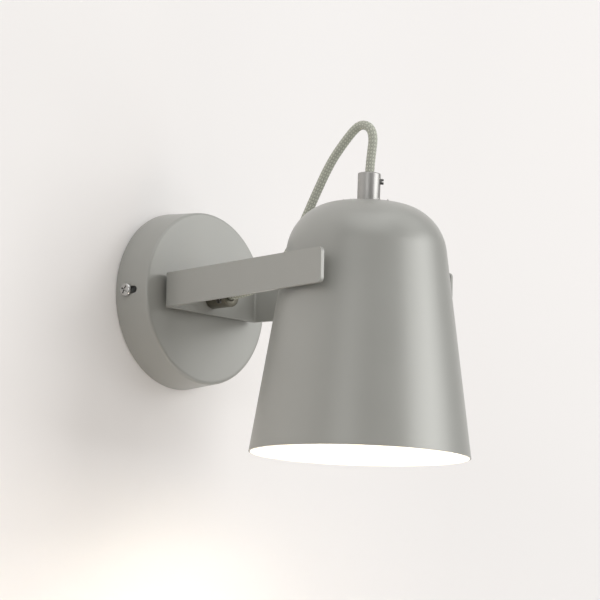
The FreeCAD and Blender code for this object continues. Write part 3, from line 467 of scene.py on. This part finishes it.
def make_flex():
    """A round tube on the line: at each even step along it, a circle across its direction.

    Across the lamp's middle plane the circle's first axis is X, and the second is the direction
    turned by a quarter. The UV map is turns round the flex and millimetres along it.
    """
    steps_along, steps_round = 560, 40
    line = flex_line()
    lengths = np.concatenate([[0], np.cumsum(np.linalg.norm(np.diff(line, axis=0), axis=1))])
    even = np.linspace(0, lengths[-1], steps_along)
    path = np.stack([np.interp(even, lengths, line[:, k]) for k in range(3)], axis=1)
    direction = np.gradient(path, even, axis=0)
    direction /= np.linalg.norm(direction, axis=1)[:, None]
    first, second = np.array([1.0, 0.0, 0.0]), np.cross(direction, [1.0, 0.0, 0.0])
    around = np.linspace(0, 2 * np.pi, steps_round, endpoint=False)
    radius = FLEX_DIAMETER / 2 * MM
    points = path[:, None] + radius * (np.cos(around)[None, :, None] * first
                                       + np.sin(around)[None, :, None] * second[:, None])
    caps = [np.repeat(path[:1, None], around.size, axis=1), np.repeat(path[-1:, None], around.size, axis=1)]
    points = np.concatenate([caps[0], points, caps[1]]) / MM
    turns, along = np.meshgrid(np.arange(around.size + 1) / around.size,
                               np.concatenate([[0], even, even[-1:]]) / MM)
    piece = tidy(skin("flex_braid", points, ["braid"], ring=True, uv=np.stack([turns, along], axis=-1)))
    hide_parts("flex_cord")
    top = on_shade(np.array([[0.0, 0.0, CROWN_TOP + SHADE_GRIP_LENGTH]])) * MM
    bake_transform(piece)


# ---- Shade ----

SHOULDER_OUT = RIM_RADIUS - (RIM_DROP + SHOULDER_RISE) * np.tan(CONE)
ARC_R, ARC_Z = SHOULDER_OUT - SHOULDER_RADIUS * np.cos(CONE), SHOULDER_RISE - SHOULDER_RADIUS * np.sin(CONE)
CROWN_TURN = np.arcsin(ARC_R / (CROWN_RADIUS - SHOULDER_RADIUS))
CROWN_Z = ARC_Z - (CROWN_RADIUS - SHOULDER_RADIUS) * np.cos(CROWN_TURN)
FLAT_TURN = np.arcsin(CROWN_FLAT_RADIUS / CROWN_RADIUS)
CROWN_TOP = CROWN_Z + CROWN_RADIUS * np.cos(FLAT_TURN)
FLAT_END = CROWN_FLAT_RADIUS - NIPPLE_HOLE_RADIUS
CROWN_END = FLAT_END + CROWN_RADIUS * (CROWN_TURN - FLAT_TURN)
SHOULDER_END = CROWN_END + SHOULDER_RADIUS * (np.pi / 2 - CROWN_TURN - CONE)
LINE_END = SHOULDER_END + (RIM_DROP + SHOULDER_RISE) / np.cos(CONE)
PIVOT_ROW = SHOULDER_END + SHOULDER_RISE / np.cos(CONE)


def shade_line(along):
    """Radius and height of the shade at a length along its outline, from the nipple hole to the rim.

    First the flat top, then the wide crown arc, the tight shoulder arc and the straight cone.
    """
    crown = FLAT_TURN + (along - FLAT_END) / CROWN_RADIUS
    shoulder = np.pi / 2 - CROWN_TURN - (along - CROWN_END) / SHOULDER_RADIUS
    down = along - SHOULDER_END
    parts = [along < FLAT_END, along < CROWN_END, along < SHOULDER_END]
    radius = np.select(parts, [NIPPLE_HOLE_RADIUS + along, CROWN_RADIUS * np.sin(crown),
                               ARC_R + SHOULDER_RADIUS * np.cos(shoulder)],
                       SHOULDER_OUT + down * np.sin(CONE))
    height = np.select(parts, [CROWN_TOP + 0 * along, CROWN_Z + CROWN_RADIUS * np.cos(crown),
                               ARC_Z + SHOULDER_RADIUS * np.sin(shoulder)],
                       SHOULDER_RISE - down * np.cos(CONE))
    return radius, height


def crown_row(radius):
    """The length along the outline at which the crown arc has this radius."""
    return FLAT_END + CROWN_RADIUS * (np.arcsin(radius / CROWN_RADIUS) - FLAT_TURN)


def make_shade():
    """The spun shell: its outline turned round the axis, with vents in the crown and pivot holes.

    The grid is angle by length along the outline. Round each vent the points move in plan and
    take the crown's height at their new radius. Round the pivots they move on the unrolled cone.
    """
    vent_block, pivot_block, rim_row = 3.1, 3.5, 1.5
    longest_row, widest_turn = 1.55, np.radians(1.7)
    pivot_radius = RIM_RADIUS - RIM_DROP * np.tan(CONE)
    vent_turn = vent_block / VENT_CIRCLE
    vent_marks = np.concatenate([VENT_ANGLES - vent_turn, VENT_ANGLES + vent_turn])
    turn = pivot_block / pivot_radius
    marks = np.sort(np.concatenate([vent_marks, [turn, np.pi - turn, np.pi + turn, 2 * np.pi - turn]]))
    angles = steps(np.append(marks, marks[0] + 2 * np.pi), widest_turn)[:-1]
    vent_rows = [crown_row(VENT_CIRCLE - vent_block * SPREAD), crown_row(VENT_CIRCLE - vent_block),
                 crown_row(VENT_CIRCLE + vent_block)]
    pivot_rows = [PIVOT_ROW - pivot_block * SPREAD, PIVOT_ROW - pivot_block, PIVOT_ROW + pivot_block,
                  PIVOT_ROW + pivot_block * SPREAD]
    rows = steps(np.array([0.0, *vent_rows, CROWN_END, SHOULDER_END, *pivot_rows, LINE_END - rim_row,
                           LINE_END]), longest_row)
    angle, along = np.meshgrid(angles, rows)
    radius, height = shade_line(along)
    cut = np.zeros(angle.shape, bool)
    for middle in (0.0, np.pi):
        a, b = about(angle, middle) * pivot_radius, along - PIVOT_ROW
        new_a, new_b, inside = open_up(a, b, a, b, 0.0, SPIGOT_HOLE_RADIUS, pivot_block)
        angle, along = middle + new_a / pivot_radius, PIVOT_ROW + new_b
        cut |= inside
    radius, height = shade_line(along)
    x, y = radius * np.cos(angle), radius * np.sin(angle)
    for middle in VENT_ANGLES:
        cell_a, cell_b = about(angle, middle) * VENT_CIRCLE, radius - VENT_CIRCLE
        near = np.maximum(np.abs(cell_a), np.abs(cell_b)) < vent_block * SPREAD
        shift = np.array([np.cos(middle), np.sin(middle)]) * VENT_CIRCLE
        new_x, new_y, inside = open_up(cell_a, cell_b, x - shift[0], y - shift[1], 0.0, VENT_RADIUS,
                                       vent_block)
        x, y = np.where(near, new_x + shift[0], x), np.where(near, new_y + shift[1], y)
        cut |= inside
    crown = (radius > NIPPLE_HOLE_RADIUS) & (along < CROWN_END)
    reach = np.hypot(x, y)
    dome = CROWN_Z + np.sqrt(np.maximum(CROWN_RADIUS ** 2 - reach ** 2, 0))
    height = np.where(crown, np.where(reach < CROWN_FLAT_RADIUS, CROWN_TOP, dome), height)
    points = on_shade(np.stack([x, y, height], axis=-1))
    piece = skin("shade_shell", points, ["painted_steel", "shade_lining"], ring=True, keep=~whole_cells(cut),
                 flip=True)
    thicken(piece, SHADE_WALL, -1.0, edge=0.3, inner_coat=1)
    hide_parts("shade")
    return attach(piece, "shade_unit")


# ---- Canopy ----

def make_canopy():
    """The pressed cup: its face, the small front edge arc and the side, turned round the lamp's axis.

    The grid is angle by length along that outline, and each side slot is an oblong hole in the
    unrolled side, with its long way along the lamp's depth.
    """
    slope = np.arctan((CANOPY_RADIUS - CANOPY_FRONT_RADIUS) / CANOPY_DEPTH)
    bend = np.pi / 2 - slope
    leg = CANOPY_EDGE * np.tan(bend / 2)
    face_end = CANOPY_FRONT_RADIUS - leg - NIPPLE_HOLE_RADIUS
    edge_end = face_end + CANOPY_EDGE * bend
    line_end = edge_end + CANOPY_DEPTH / np.cos(slope) - leg
    slot_row = line_end - SLOT_DEPTH / np.cos(slope)
    half_length, block = SLOT_HALF_LENGTH - SLOT_HALF_WIDTH, 1.9
    longest_row, widest_turn = 1.2, np.radians(1.8)
    turn = block / CANOPY_RADIUS
    marks = np.array([turn, np.pi - turn, np.pi + turn, 2 * np.pi - turn, 2 * np.pi + turn])
    angles = steps(marks, widest_turn)[:-1]
    ends = half_length + block
    rows = steps(np.array([0.0, face_end - 1.0, face_end, edge_end, slot_row - ends, slot_row + ends,
                           line_end]), longest_row)
    rows = np.unique(np.concatenate([rows, np.linspace(face_end, edge_end, 7)]))
    angle, along = np.meshgrid(angles, rows)
    cut = np.zeros(angle.shape, bool)
    for middle in (0.0, np.pi):
        a, b = about(angle, middle) * CANOPY_RADIUS, along - slot_row
        new_a, new_b, inside = open_up(a, b, a, b, half_length, SLOT_HALF_WIDTH, block)
        angle, along = middle + new_a / CANOPY_RADIUS, slot_row + new_b
        cut |= inside
    arc = (along - face_end) / CANOPY_EDGE
    down = along - edge_end
    arc_radius, arc_out = CANOPY_FRONT_RADIUS - leg, CANOPY_DEPTH - CANOPY_EDGE
    side_radius = arc_radius + CANOPY_EDGE * np.sin(bend)
    side_out = arc_out + CANOPY_EDGE * np.cos(bend)
    parts = [along < face_end, along < edge_end]
    radius = np.select(parts, [NIPPLE_HOLE_RADIUS + along, arc_radius + CANOPY_EDGE * np.sin(arc)],
                       side_radius + down * np.sin(slope))
    out = np.select(parts, [CANOPY_DEPTH + 0 * along, arc_out + CANOPY_EDGE * np.cos(arc)],
                    side_out - down * np.cos(slope))
    points = off_wall(np.stack([radius * np.cos(angle), radius * np.sin(angle), out], axis=-1))
    piece = skin("canopy_shell", points, ["painted_steel"], ring=True, keep=~whole_cells(cut), flip=True)
    thicken(piece, CANOPY_WALL, -1.0, edge=0.25)
    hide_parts("canopy_cover")
    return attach(piece, "fixture")


# ---- Yoke ----

def make_yoke():
    """The bent strip: its middle line is base, bend arc and slanted arm on each side, swept over its height.

    Near the arms' ends the height shrinks by a quarter circle, which rounds the end corners.
    """
    half = BAND_THICKNESS / 2
    corner = BASE_WIDTH / 2 - half * (1 / np.cos(SPLAY) - np.tan(SPLAY))
    bend, turn = BEND_RADIUS + half, np.pi / 2 - SPLAY
    leg = bend * np.tan(turn / 2)
    base_end = corner - leg
    bend_end = base_end + bend * turn
    base_out = BASE_GRIP_SEAT - half
    line_end = bend_end + (ARM_REACH - base_out) / np.cos(SPLAY) - leg
    tip = line_end - ARM_CORNER * (1 - np.sin(np.linspace(0, np.pi / 2, 9)))
    block, base_step, height_step = 3.9, 3.0, 1.4
    one_side = np.concatenate([steps(np.array([block, block * SPREAD, base_end]), base_step)[:-1],
                               np.linspace(base_end, bend_end, 25)[:-1],
                               np.linspace(bend_end, line_end - ARM_CORNER, 40)[:-1], tip])
    middle = np.linspace(-block, block, 7)[1:-1]
    along_line = np.concatenate([-one_side[::-1], middle, one_side])
    up_line = steps(np.array([-BAND_HEIGHT / 2, -block * SPREAD, -block, block, block * SPREAD,
                              BAND_HEIGHT / 2]), height_step)
    along, up = np.meshgrid(along_line, up_line)
    real_along, real_up, cut = open_up(along, up, along, up, 0.0, NIPPLE_HOLE_RADIUS, block)
    into_tip = np.clip((np.abs(along) - (line_end - ARM_CORNER)) / ARM_CORNER, 0, 1)
    shrink = 1 - ARM_CORNER * (1 - np.sqrt(1 - into_tip ** 2)) / (BAND_HEIGHT / 2)
    real_up = real_up * shrink
    length = np.abs(real_along)
    swing = np.clip((length - base_end) / bend, 0, turn)
    straight = np.clip(length - bend_end, 0, None)
    across = np.minimum(length, base_end) + bend * np.sin(swing) + straight * np.cos(turn)
    out = base_out + bend * (1 - np.cos(swing)) + straight * np.sin(turn)
    points = off_wall(np.stack([np.sign(real_along) * across, real_up, out], axis=-1))
    piece = skin("yoke_strip", points, ["painted_steel"], keep=~whole_cells(cut, ring=False))
    thicken(piece, BAND_THICKNESS, 0.0, edge=0.4)
    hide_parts("yoke")
    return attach(piece, "fixture")


# ---- Turned pieces ----

def turned(name, outline, place, coat, body, nodes, columns=72, slot=None):
    """A turned piece: a closed outline of radius and height carried round its axis."""
    piece = tidy(skin(name, place(lathe(outline, columns)), [coat], ring=True, loop=True))
    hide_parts(*nodes)
    slot or coat
    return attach(piece, body)


def quarter(centre_radius, centre_height, radius, start, stop, points):
    """Points on an arc of an outline, from one angle to another in degrees."""
    angle = np.radians(np.linspace(start, stop, points))
    return np.stack([centre_radius + radius * np.cos(angle), centre_height + radius * np.sin(angle)], axis=1)


def grip_outline(length):
    """A cord grip's outline: foot, barrel, rounded mouth edge, flared mouth, flex bore and nipple bore."""
    bore, nipple, nipple_end, flare, foot_edge = FLEX_DIAMETER / 2 + 0.25, 5.05, 6.5, 0.8, 0.3
    return np.concatenate([
        quarter(GRIP_RADIUS - foot_edge, foot_edge, foot_edge, -90, 0, 4),
        quarter(GRIP_RADIUS - GRIP_EDGE, length - GRIP_EDGE, GRIP_EDGE, 0, 90, 7),
        [(bore + flare, length)],
        quarter(bore + flare, length - flare, flare, 90, 180, 5)[1:],
        [(bore, nipple_end), (nipple, nipple_end), (nipple, 0.0)],
    ])


def make_grips():
    """The two cord grips and the ring behind the yoke, each a turned outline set on its seat."""
    def base(points):
        return off_wall(points + [0, 0, BASE_GRIP_SEAT])

    def top(points):
        return on_shade(points + [0, 0, CROWN_TOP])

    def on_canopy(points):
        return off_wall(points + [0, 0, CANOPY_DEPTH])

    # The base grip takes the darker copy of the satin nickel: painted shade
    turned("base_grip", grip_outline(BASE_GRIP_LENGTH), base, "shaded_nickel", "fixture", ["base_cord_grip"],
           slot="satin_nickel")
    turned("shade_grip", grip_outline(SHADE_GRIP_LENGTH), top, "satin_nickel", "shade_unit",
           ["shade_cord_grip"])
    hole, thickness, rounding = NIPPLE_HOLE_RADIUS, SPACER_RING_THICKNESS, 0.3
    side = SPACER_RING_RADIUS - rounding
    ring = np.concatenate([quarter(side, rounding, rounding, -90, 0, 4),
                           quarter(side, thickness - rounding, rounding, 0, 90, 4),
                           [(hole, thickness), (hole, 0.0)]])
    turned("yoke_ring", ring, on_canopy, "painted_steel", "fixture", ["yoke_spacer"])


def pressed(grid, top, depth):
    """Presses a turned grid in from its top, by a depth in millimetres that is given at each point."""
    pushed = grid.copy()
    pushed[..., 2] = np.minimum(grid[..., 2], top - depth)
    return pushed


def edge_share(distance, half, blur=0.12):
    """1 within half of a middle line and 0 outside, with a short slope between."""
    return np.clip((half - distance) / blur + 0.5, 0, 1)


def lathe(outline, columns):
    """The grid of a turned shape: its outline of radius and height carried round Z."""
    outline = np.asarray(outline, float)
    angles = np.linspace(0, 2 * np.pi, columns, endpoint=False)
    radius, height = outline[:, :1], outline[:, 1:]
    return np.stack([radius * np.cos(angles), radius * np.sin(angles), height + 0 * angles], axis=-1)


def fastener(name, grid, coat, body, nodes):
    """A screw from its grid of points: a closed piece in the given coat."""
    piece = tidy(skin(name, grid, [coat], ring=True, loop=True))
    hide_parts(*nodes)
    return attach(piece, body)


def make_side_screws():
    """Pan heads: a turned outline with a low dome, pressed in by a cross of two bars.

    The heads stand on the canopy's side at seat from the middle plane and at level from the wall.
    """
    head, height, corner, foot_edge, sink = 4.5, 2.4, 1.49, 0.2, 0.15
    shank, length, tip, tip_radius = 2.0, 8.0, 0.6, 1.6
    bar, span, depth, turn = 0.55, 2.79, 1.3, np.radians(28)
    seat, level = 59.735, 9.5
    rim = quarter(head - corner, height - corner - sink, corner, 0, 90, 9)
    crown = np.linspace(head - corner, 0, 26)[1:]
    dome = np.stack([crown, height - sink * (crown / (head - corner)) ** 2], axis=1)
    shaft = [(0, -length), (tip_radius, -length), (shank, tip - length), (shank, 0.0)]
    foot = [(head - foot_edge, 0.0), (head, foot_edge)]
    grid = lathe(np.concatenate([shaft, foot, rim, dome]), 120)
    x, y = (grid[..., 0] * np.cos(turn) + grid[..., 1] * np.sin(turn),
            grid[..., 1] * np.cos(turn) - grid[..., 0] * np.sin(turn))
    narrow, far = np.minimum(abs(x), abs(y)), np.maximum(abs(x), abs(y))
    sunk = depth * edge_share(narrow, bar) * edge_share(far, span)
    grid = np.where((sunk > 0)[..., None], pressed(grid, height, sunk), grid)
    for side, name in ((-1, "left_side_screw"), (1, "right_side_screw")):
        points = np.stack([side * (seat + grid[..., 2]), grid[..., 0] - level, grid[..., 1]], axis=-1)
        fastener(name, points, "bright_zinc", "fixture", ["canopy_screws"])


def make_set_screws():
    """Headless screws: the thread is a cosine of the length, and a bar is pressed across the end.

    Each screw has an angle round its grip, a height on it and a length by which it stands proud.
    """
    shank, foot_radius, end_radius, flex_gap = 2.0, 1.6, 1.75, 0.05
    pitch, thread_depth, thread_start, thread_stop, thread_step = 0.7, 0.16, 0.3, 0.25, 0.1
    slot_depth, slot_half, slot_blur = 1.4, 0.55, 0.1
    for name, angle, height, proud, body, node, where in (
            ("base_set_screw", 210.0, 12.0, 0.8, "fixture", "base_grip_screw",
             lambda grid: off_wall(grid + [0, 0, BASE_GRIP_SEAT])),
            ("shade_set_screw", -48.0, 13.7, 2.0, "shade_unit", "shade_grip_screw",
             lambda grid: on_shade(grid + [0, 0, CROWN_TOP]))):
        foot = FLEX_DIAMETER / 2 + flex_gap
        length = GRIP_RADIUS + proud - foot
        rows = np.arange(thread_start, length - thread_stop, thread_step)
        thread = shank - thread_depth * (0.5 - 0.5 * np.cos(rows * 2 * np.pi / pitch))
        end = np.linspace(end_radius, 0, 18)
        grid = lathe(np.concatenate([[(0, 0), (foot_radius, 0)], np.stack([thread, rows], axis=1),
                                     np.stack([end, length + 0 * end], axis=1)]), 72)
        grid = pressed(grid, length, slot_depth * edge_share(abs(grid[..., 1]), slot_half, slot_blur))
        out, side = np.radians(angle), np.radians(angle + 90)
        direction, across = (np.array([np.cos(a), np.sin(a), 0]) for a in (out, side))
        points = ((foot + grid[..., 2:]) * direction + grid[..., :1] * across
                  + grid[..., 1:2] * [0, 0, 1.0] + [0, 0, height])
        fastener(name, where(points), "dark_steel", body, [node])


def make_spacers():
    """Rings between shade and arms: a turned outline whose outer end follows the slanted arm."""
    bore, rounding = 2.55, 0.35
    side = 7.0 - rounding
    outline = np.concatenate([[(bore, 0.0)], quarter(side, rounding, rounding, -90, 0, 5),
                              quarter(side, 1 - rounding, rounding, 0, 90, 5), [(bore, 1.0)]])
    grid = lathe(outline, 60)
    share = grid[..., 2]
    reach = ARM_INSIDE - BUSH_FACE + grid[..., 0] * np.tan(SPLAY)
    rise = np.where(share > 0.5, reach - (1 - share), share)
    for side, name in ((-1, "left_spacer"), (1, "right_spacer")):
        points = np.stack([side * (BUSH_FACE + rise), -PIVOT_DISTANCE - grid[..., 0], grid[..., 1]], axis=-1)
        piece = tidy(skin(name, points, ["nylon"], ring=True, loop=True))
        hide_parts("pivot_spacers")
        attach(piece, "fixture")


def make_lampholder_and_bulb():
    """The black holder's cap and skirt, and the lamp's cone housing and round diffuser, all turned.

    Heights count down from the holder's top, which hangs below the crown by a washer and a nut.
    """
    washer, nut, cap_height, insert_drop, skirt_length = 0.8, 3.0, 26.3, 32.3, 29.0
    contact_drop, contact_height, insulator, screw_cap = 2.5, 0.8, 2.5, 22.0
    bulb_length, globe_radius, globe_wall, diffuser_height = 98.0, 27.5, 1.0, 38.5
    screw_cap_radius, housing_wall, wall_inside, bore = 13.2, 1.5, 17.5, 5.05
    holder_top = CROWN_Z + (CROWN_RADIUS - SHADE_WALL) * np.cos(FLAT_TURN) - washer - nut
    joint, insert = holder_top - cap_height, holder_top - insert_drop
    neck, shoulder = holder_top - 3.5, holder_top - 4.5
    bulb_top = insert - contact_drop
    cap_foot, foot = bulb_top - contact_height - insulator - screw_cap, bulb_top - bulb_length
    globe, top = foot + globe_radius, foot + diffuser_height
    edge = np.sqrt(globe_radius ** 2 - (diffuser_height - globe_radius) ** 2)
    start = np.degrees(np.arcsin((diffuser_height - globe_radius) / globe_radius))
    skirt_foot = joint - skirt_length
    turned("holder_cap", np.concatenate([
        [(wall_inside, joint), (19.3, joint), (19.5, joint + 0.2)],
        quarter(18.5, shoulder - 9.3, 1.0, 0, 55, 4), quarter(12.6, shoulder - 0.5, 0.7, 55, 75, 3),
        quarter(8.9, neck + 0.6, 0.4, 255, 180, 4), quarter(7.9, holder_top - 0.6, 0.6, 0, 90, 4),
        [(bore, holder_top), (bore, holder_top - 7.0), (12.0, holder_top - 7.0),
         (wall_inside, holder_top - 15.3)],
    ]), on_shade, "holder_plastic", "shade_unit", ["lampholder_cap"])
    turned("holder_skirt", np.concatenate([
        quarter(19.2, joint - 0.3, 0.3, 90, 0, 4), quarter(18.7, skirt_foot + 0.8, 0.8, 0, -90, 6),
        quarter(16.3, skirt_foot + 0.8, 0.8, 270, 180, 6),
        [(15.5, insert), (wall_inside, insert), (wall_inside, joint)],
    ]), on_shade, "holder_plastic", "shade_unit", ["lampholder_skirt"])
    cone = [(edge, top), (screw_cap_radius, cap_foot), (screw_cap_radius - housing_wall, cap_foot),
            (edge - housing_wall, top)]
    turned("bulb_cone", cone, on_shade, "bulb_shell", "shade_unit", ["bulb_housing"], 96)
    diffuser = np.concatenate([quarter(0, globe, globe_radius, -90, start, 40),
                               quarter(0, globe, globe_radius - globe_wall, start, -90, 40)])
    turned("bulb_globe", diffuser, on_shade, "bulb_opal", "shade_unit", ["bulb_diffuser"], 96)


make_flex()
make_shade()
make_canopy()
make_yoke()
make_grips()
make_side_screws()
make_set_screws()
make_spacers()
make_lampholder_and_bulb()


# ---- Wall, lamps and surroundings ----

def make_wall():
    """The wall: a flat ring from a round opening behind the canopy out to a square edge.

    Its back is clear, so that views from behind it show the lamp, and the opening lets light in there.
    """
    opening, reach, behind, corners = 57.0, 2200.0, 0.4, 64
    # Painted light: the wall's colour runs from paler on the left to darker on the right over this band
    painted_light_start, painted_light_width = -0.12, 0.42        # in metres along the wall
    angle = np.linspace(0, 2 * np.pi, corners, endpoint=False)
    circle = np.stack([np.cos(angle), np.sin(angle), 0 * angle], axis=1)
    square = circle / np.abs(circle).max(axis=1)[:, None]
    points = off_wall(np.stack([opening * circle, reach * square]) - [0, 0, behind])
    wall = skin("wall", points, [], ring=True, flip=True)
    finish = Finish("wall_paint", Roughness=0.9, Specular_IOR_Level=0.1)
    across = finish.axes(finish.place())[0]
    soft = finish.node("ShaderNodeClamp", {}, {"Value": (across - painted_light_start) / painted_light_width})
    grain = finish.noise(finish.place(), 420.0, 3.0)
    # Painted light: the wall is coloured paler to the left and darker to the right
    finish.set(Base_Color=finish.blend(soft, (0.95, 0.93, 0.92), (0.872, 0.852, 0.842)),
               Normal=finish.bump(grain, 0.05, 0.0003))
    back = finish.node("ShaderNodeNewGeometry", output="Backfacing")
    clear = finish.node("ShaderNodeBsdfTransparent")
    painted = Wire(finish, finish.shader.outputs[0])
    mixed = finish.node("ShaderNodeMixShader", {}, {0: back, 1: painted, 2: clear})
    output = [node for node in finish.tree.nodes if node.type == "OUTPUT_MATERIAL"][0]
    finish.tree.links.new(mixed.socket, output.inputs["Surface"])
    wall.data.materials.append(finish.material)


def make_lamp(name, place, aim, size, power, colour=(1.0, 1.0, 1.0)):
    """A square soft box at a place in metres, facing a point."""
    light = bpy.data.lights.new(name, "AREA")
    light.shape, light.size, light.energy, light.color = "SQUARE", size, power, colour
    holder = bpy.data.objects.new(name, light)
    bpy.context.scene.collection.objects.link(holder)
    back = np.array(place) - np.array(aim)
    back = back / np.linalg.norm(back)
    right = np.cross([0, 0, 1.0], back)
    right /= np.linalg.norm(right)
    turn = np.eye(4)
    turn[:3, 0], turn[:3, 1], turn[:3, 2], turn[:3, 3] = right, np.cross(back, right), back, place
    holder.matrix_world = Matrix(turn.tolist())


def make_surroundings():
    """A pale even world: soft fill for the lamp, and near white where the camera sees past the wall."""
    world = bpy.data.worlds.new("pale_room")
    bpy.context.scene.world = world
    world.use_nodes = True
    tree = world.node_tree
    tree.nodes.clear()
    fill, seen = tree.nodes.new("ShaderNodeBackground"), tree.nodes.new("ShaderNodeBackground")
    fill.inputs["Color"].default_value, fill.inputs["Strength"].default_value = (1.0, 0.98, 0.95, 1.0), FILL
    seen.inputs["Color"].default_value, seen.inputs["Strength"].default_value = (0.9, 0.885, 0.87, 1.0), 1.0
    path, mix = tree.nodes.new("ShaderNodeLightPath"), tree.nodes.new("ShaderNodeMixShader")
    output = tree.nodes.new("ShaderNodeOutputWorld")
    tree.links.new(path.outputs["Is Camera Ray"], mix.inputs[0])
    tree.links.new(fill.outputs[0], mix.inputs[1])
    tree.links.new(seen.outputs[0], mix.inputs[2])
    tree.links.new(mix.outputs[0], output.inputs["Surface"])


# Soft boxes: name, direction from the point that they face, side of the square in metres, power in watts
FILL = 0.354
AIM, LAMP_DISTANCE = np.array([0.0, -0.1, 0.0]), 2.4
LAMPS = (
    ("key", (0.66, -0.68, 0.32), 1.0, 7.6),
    ("front", (0.35, -0.93, 0.1), 1.4, 20.5),
    ("left", (-0.9, -0.4, 0.14), 1.0, 5.6),
    ("top_left", (-0.3, -0.35, 0.88), 2.0, 14.5),
    ("top_right", (0.38, -0.4, 0.84), 1.7, 7.0),
    ("low_front", (0.0, -0.5, -0.87), 1.0, 5.0),
    ("low_right", (0.5, -0.6, -0.6), 1.0, 6.0),
)
make_wall()
for lamp_name, towards, size, power in LAMPS:
    make_lamp(lamp_name, AIM + LAMP_DISTANCE * np.array(towards), AIM, size, power)
# The lamp's own warm light on the wall below the shade's mouth
make_lamp("warm_pool", (-0.2, -0.28, -0.45), (-0.1, 0.0, -0.27), size=0.2, power=0.24,
          colour=(1.0, 0.74, 0.48))
make_surroundings()
bpy.context.scene.view_settings.view_transform = "Standard"
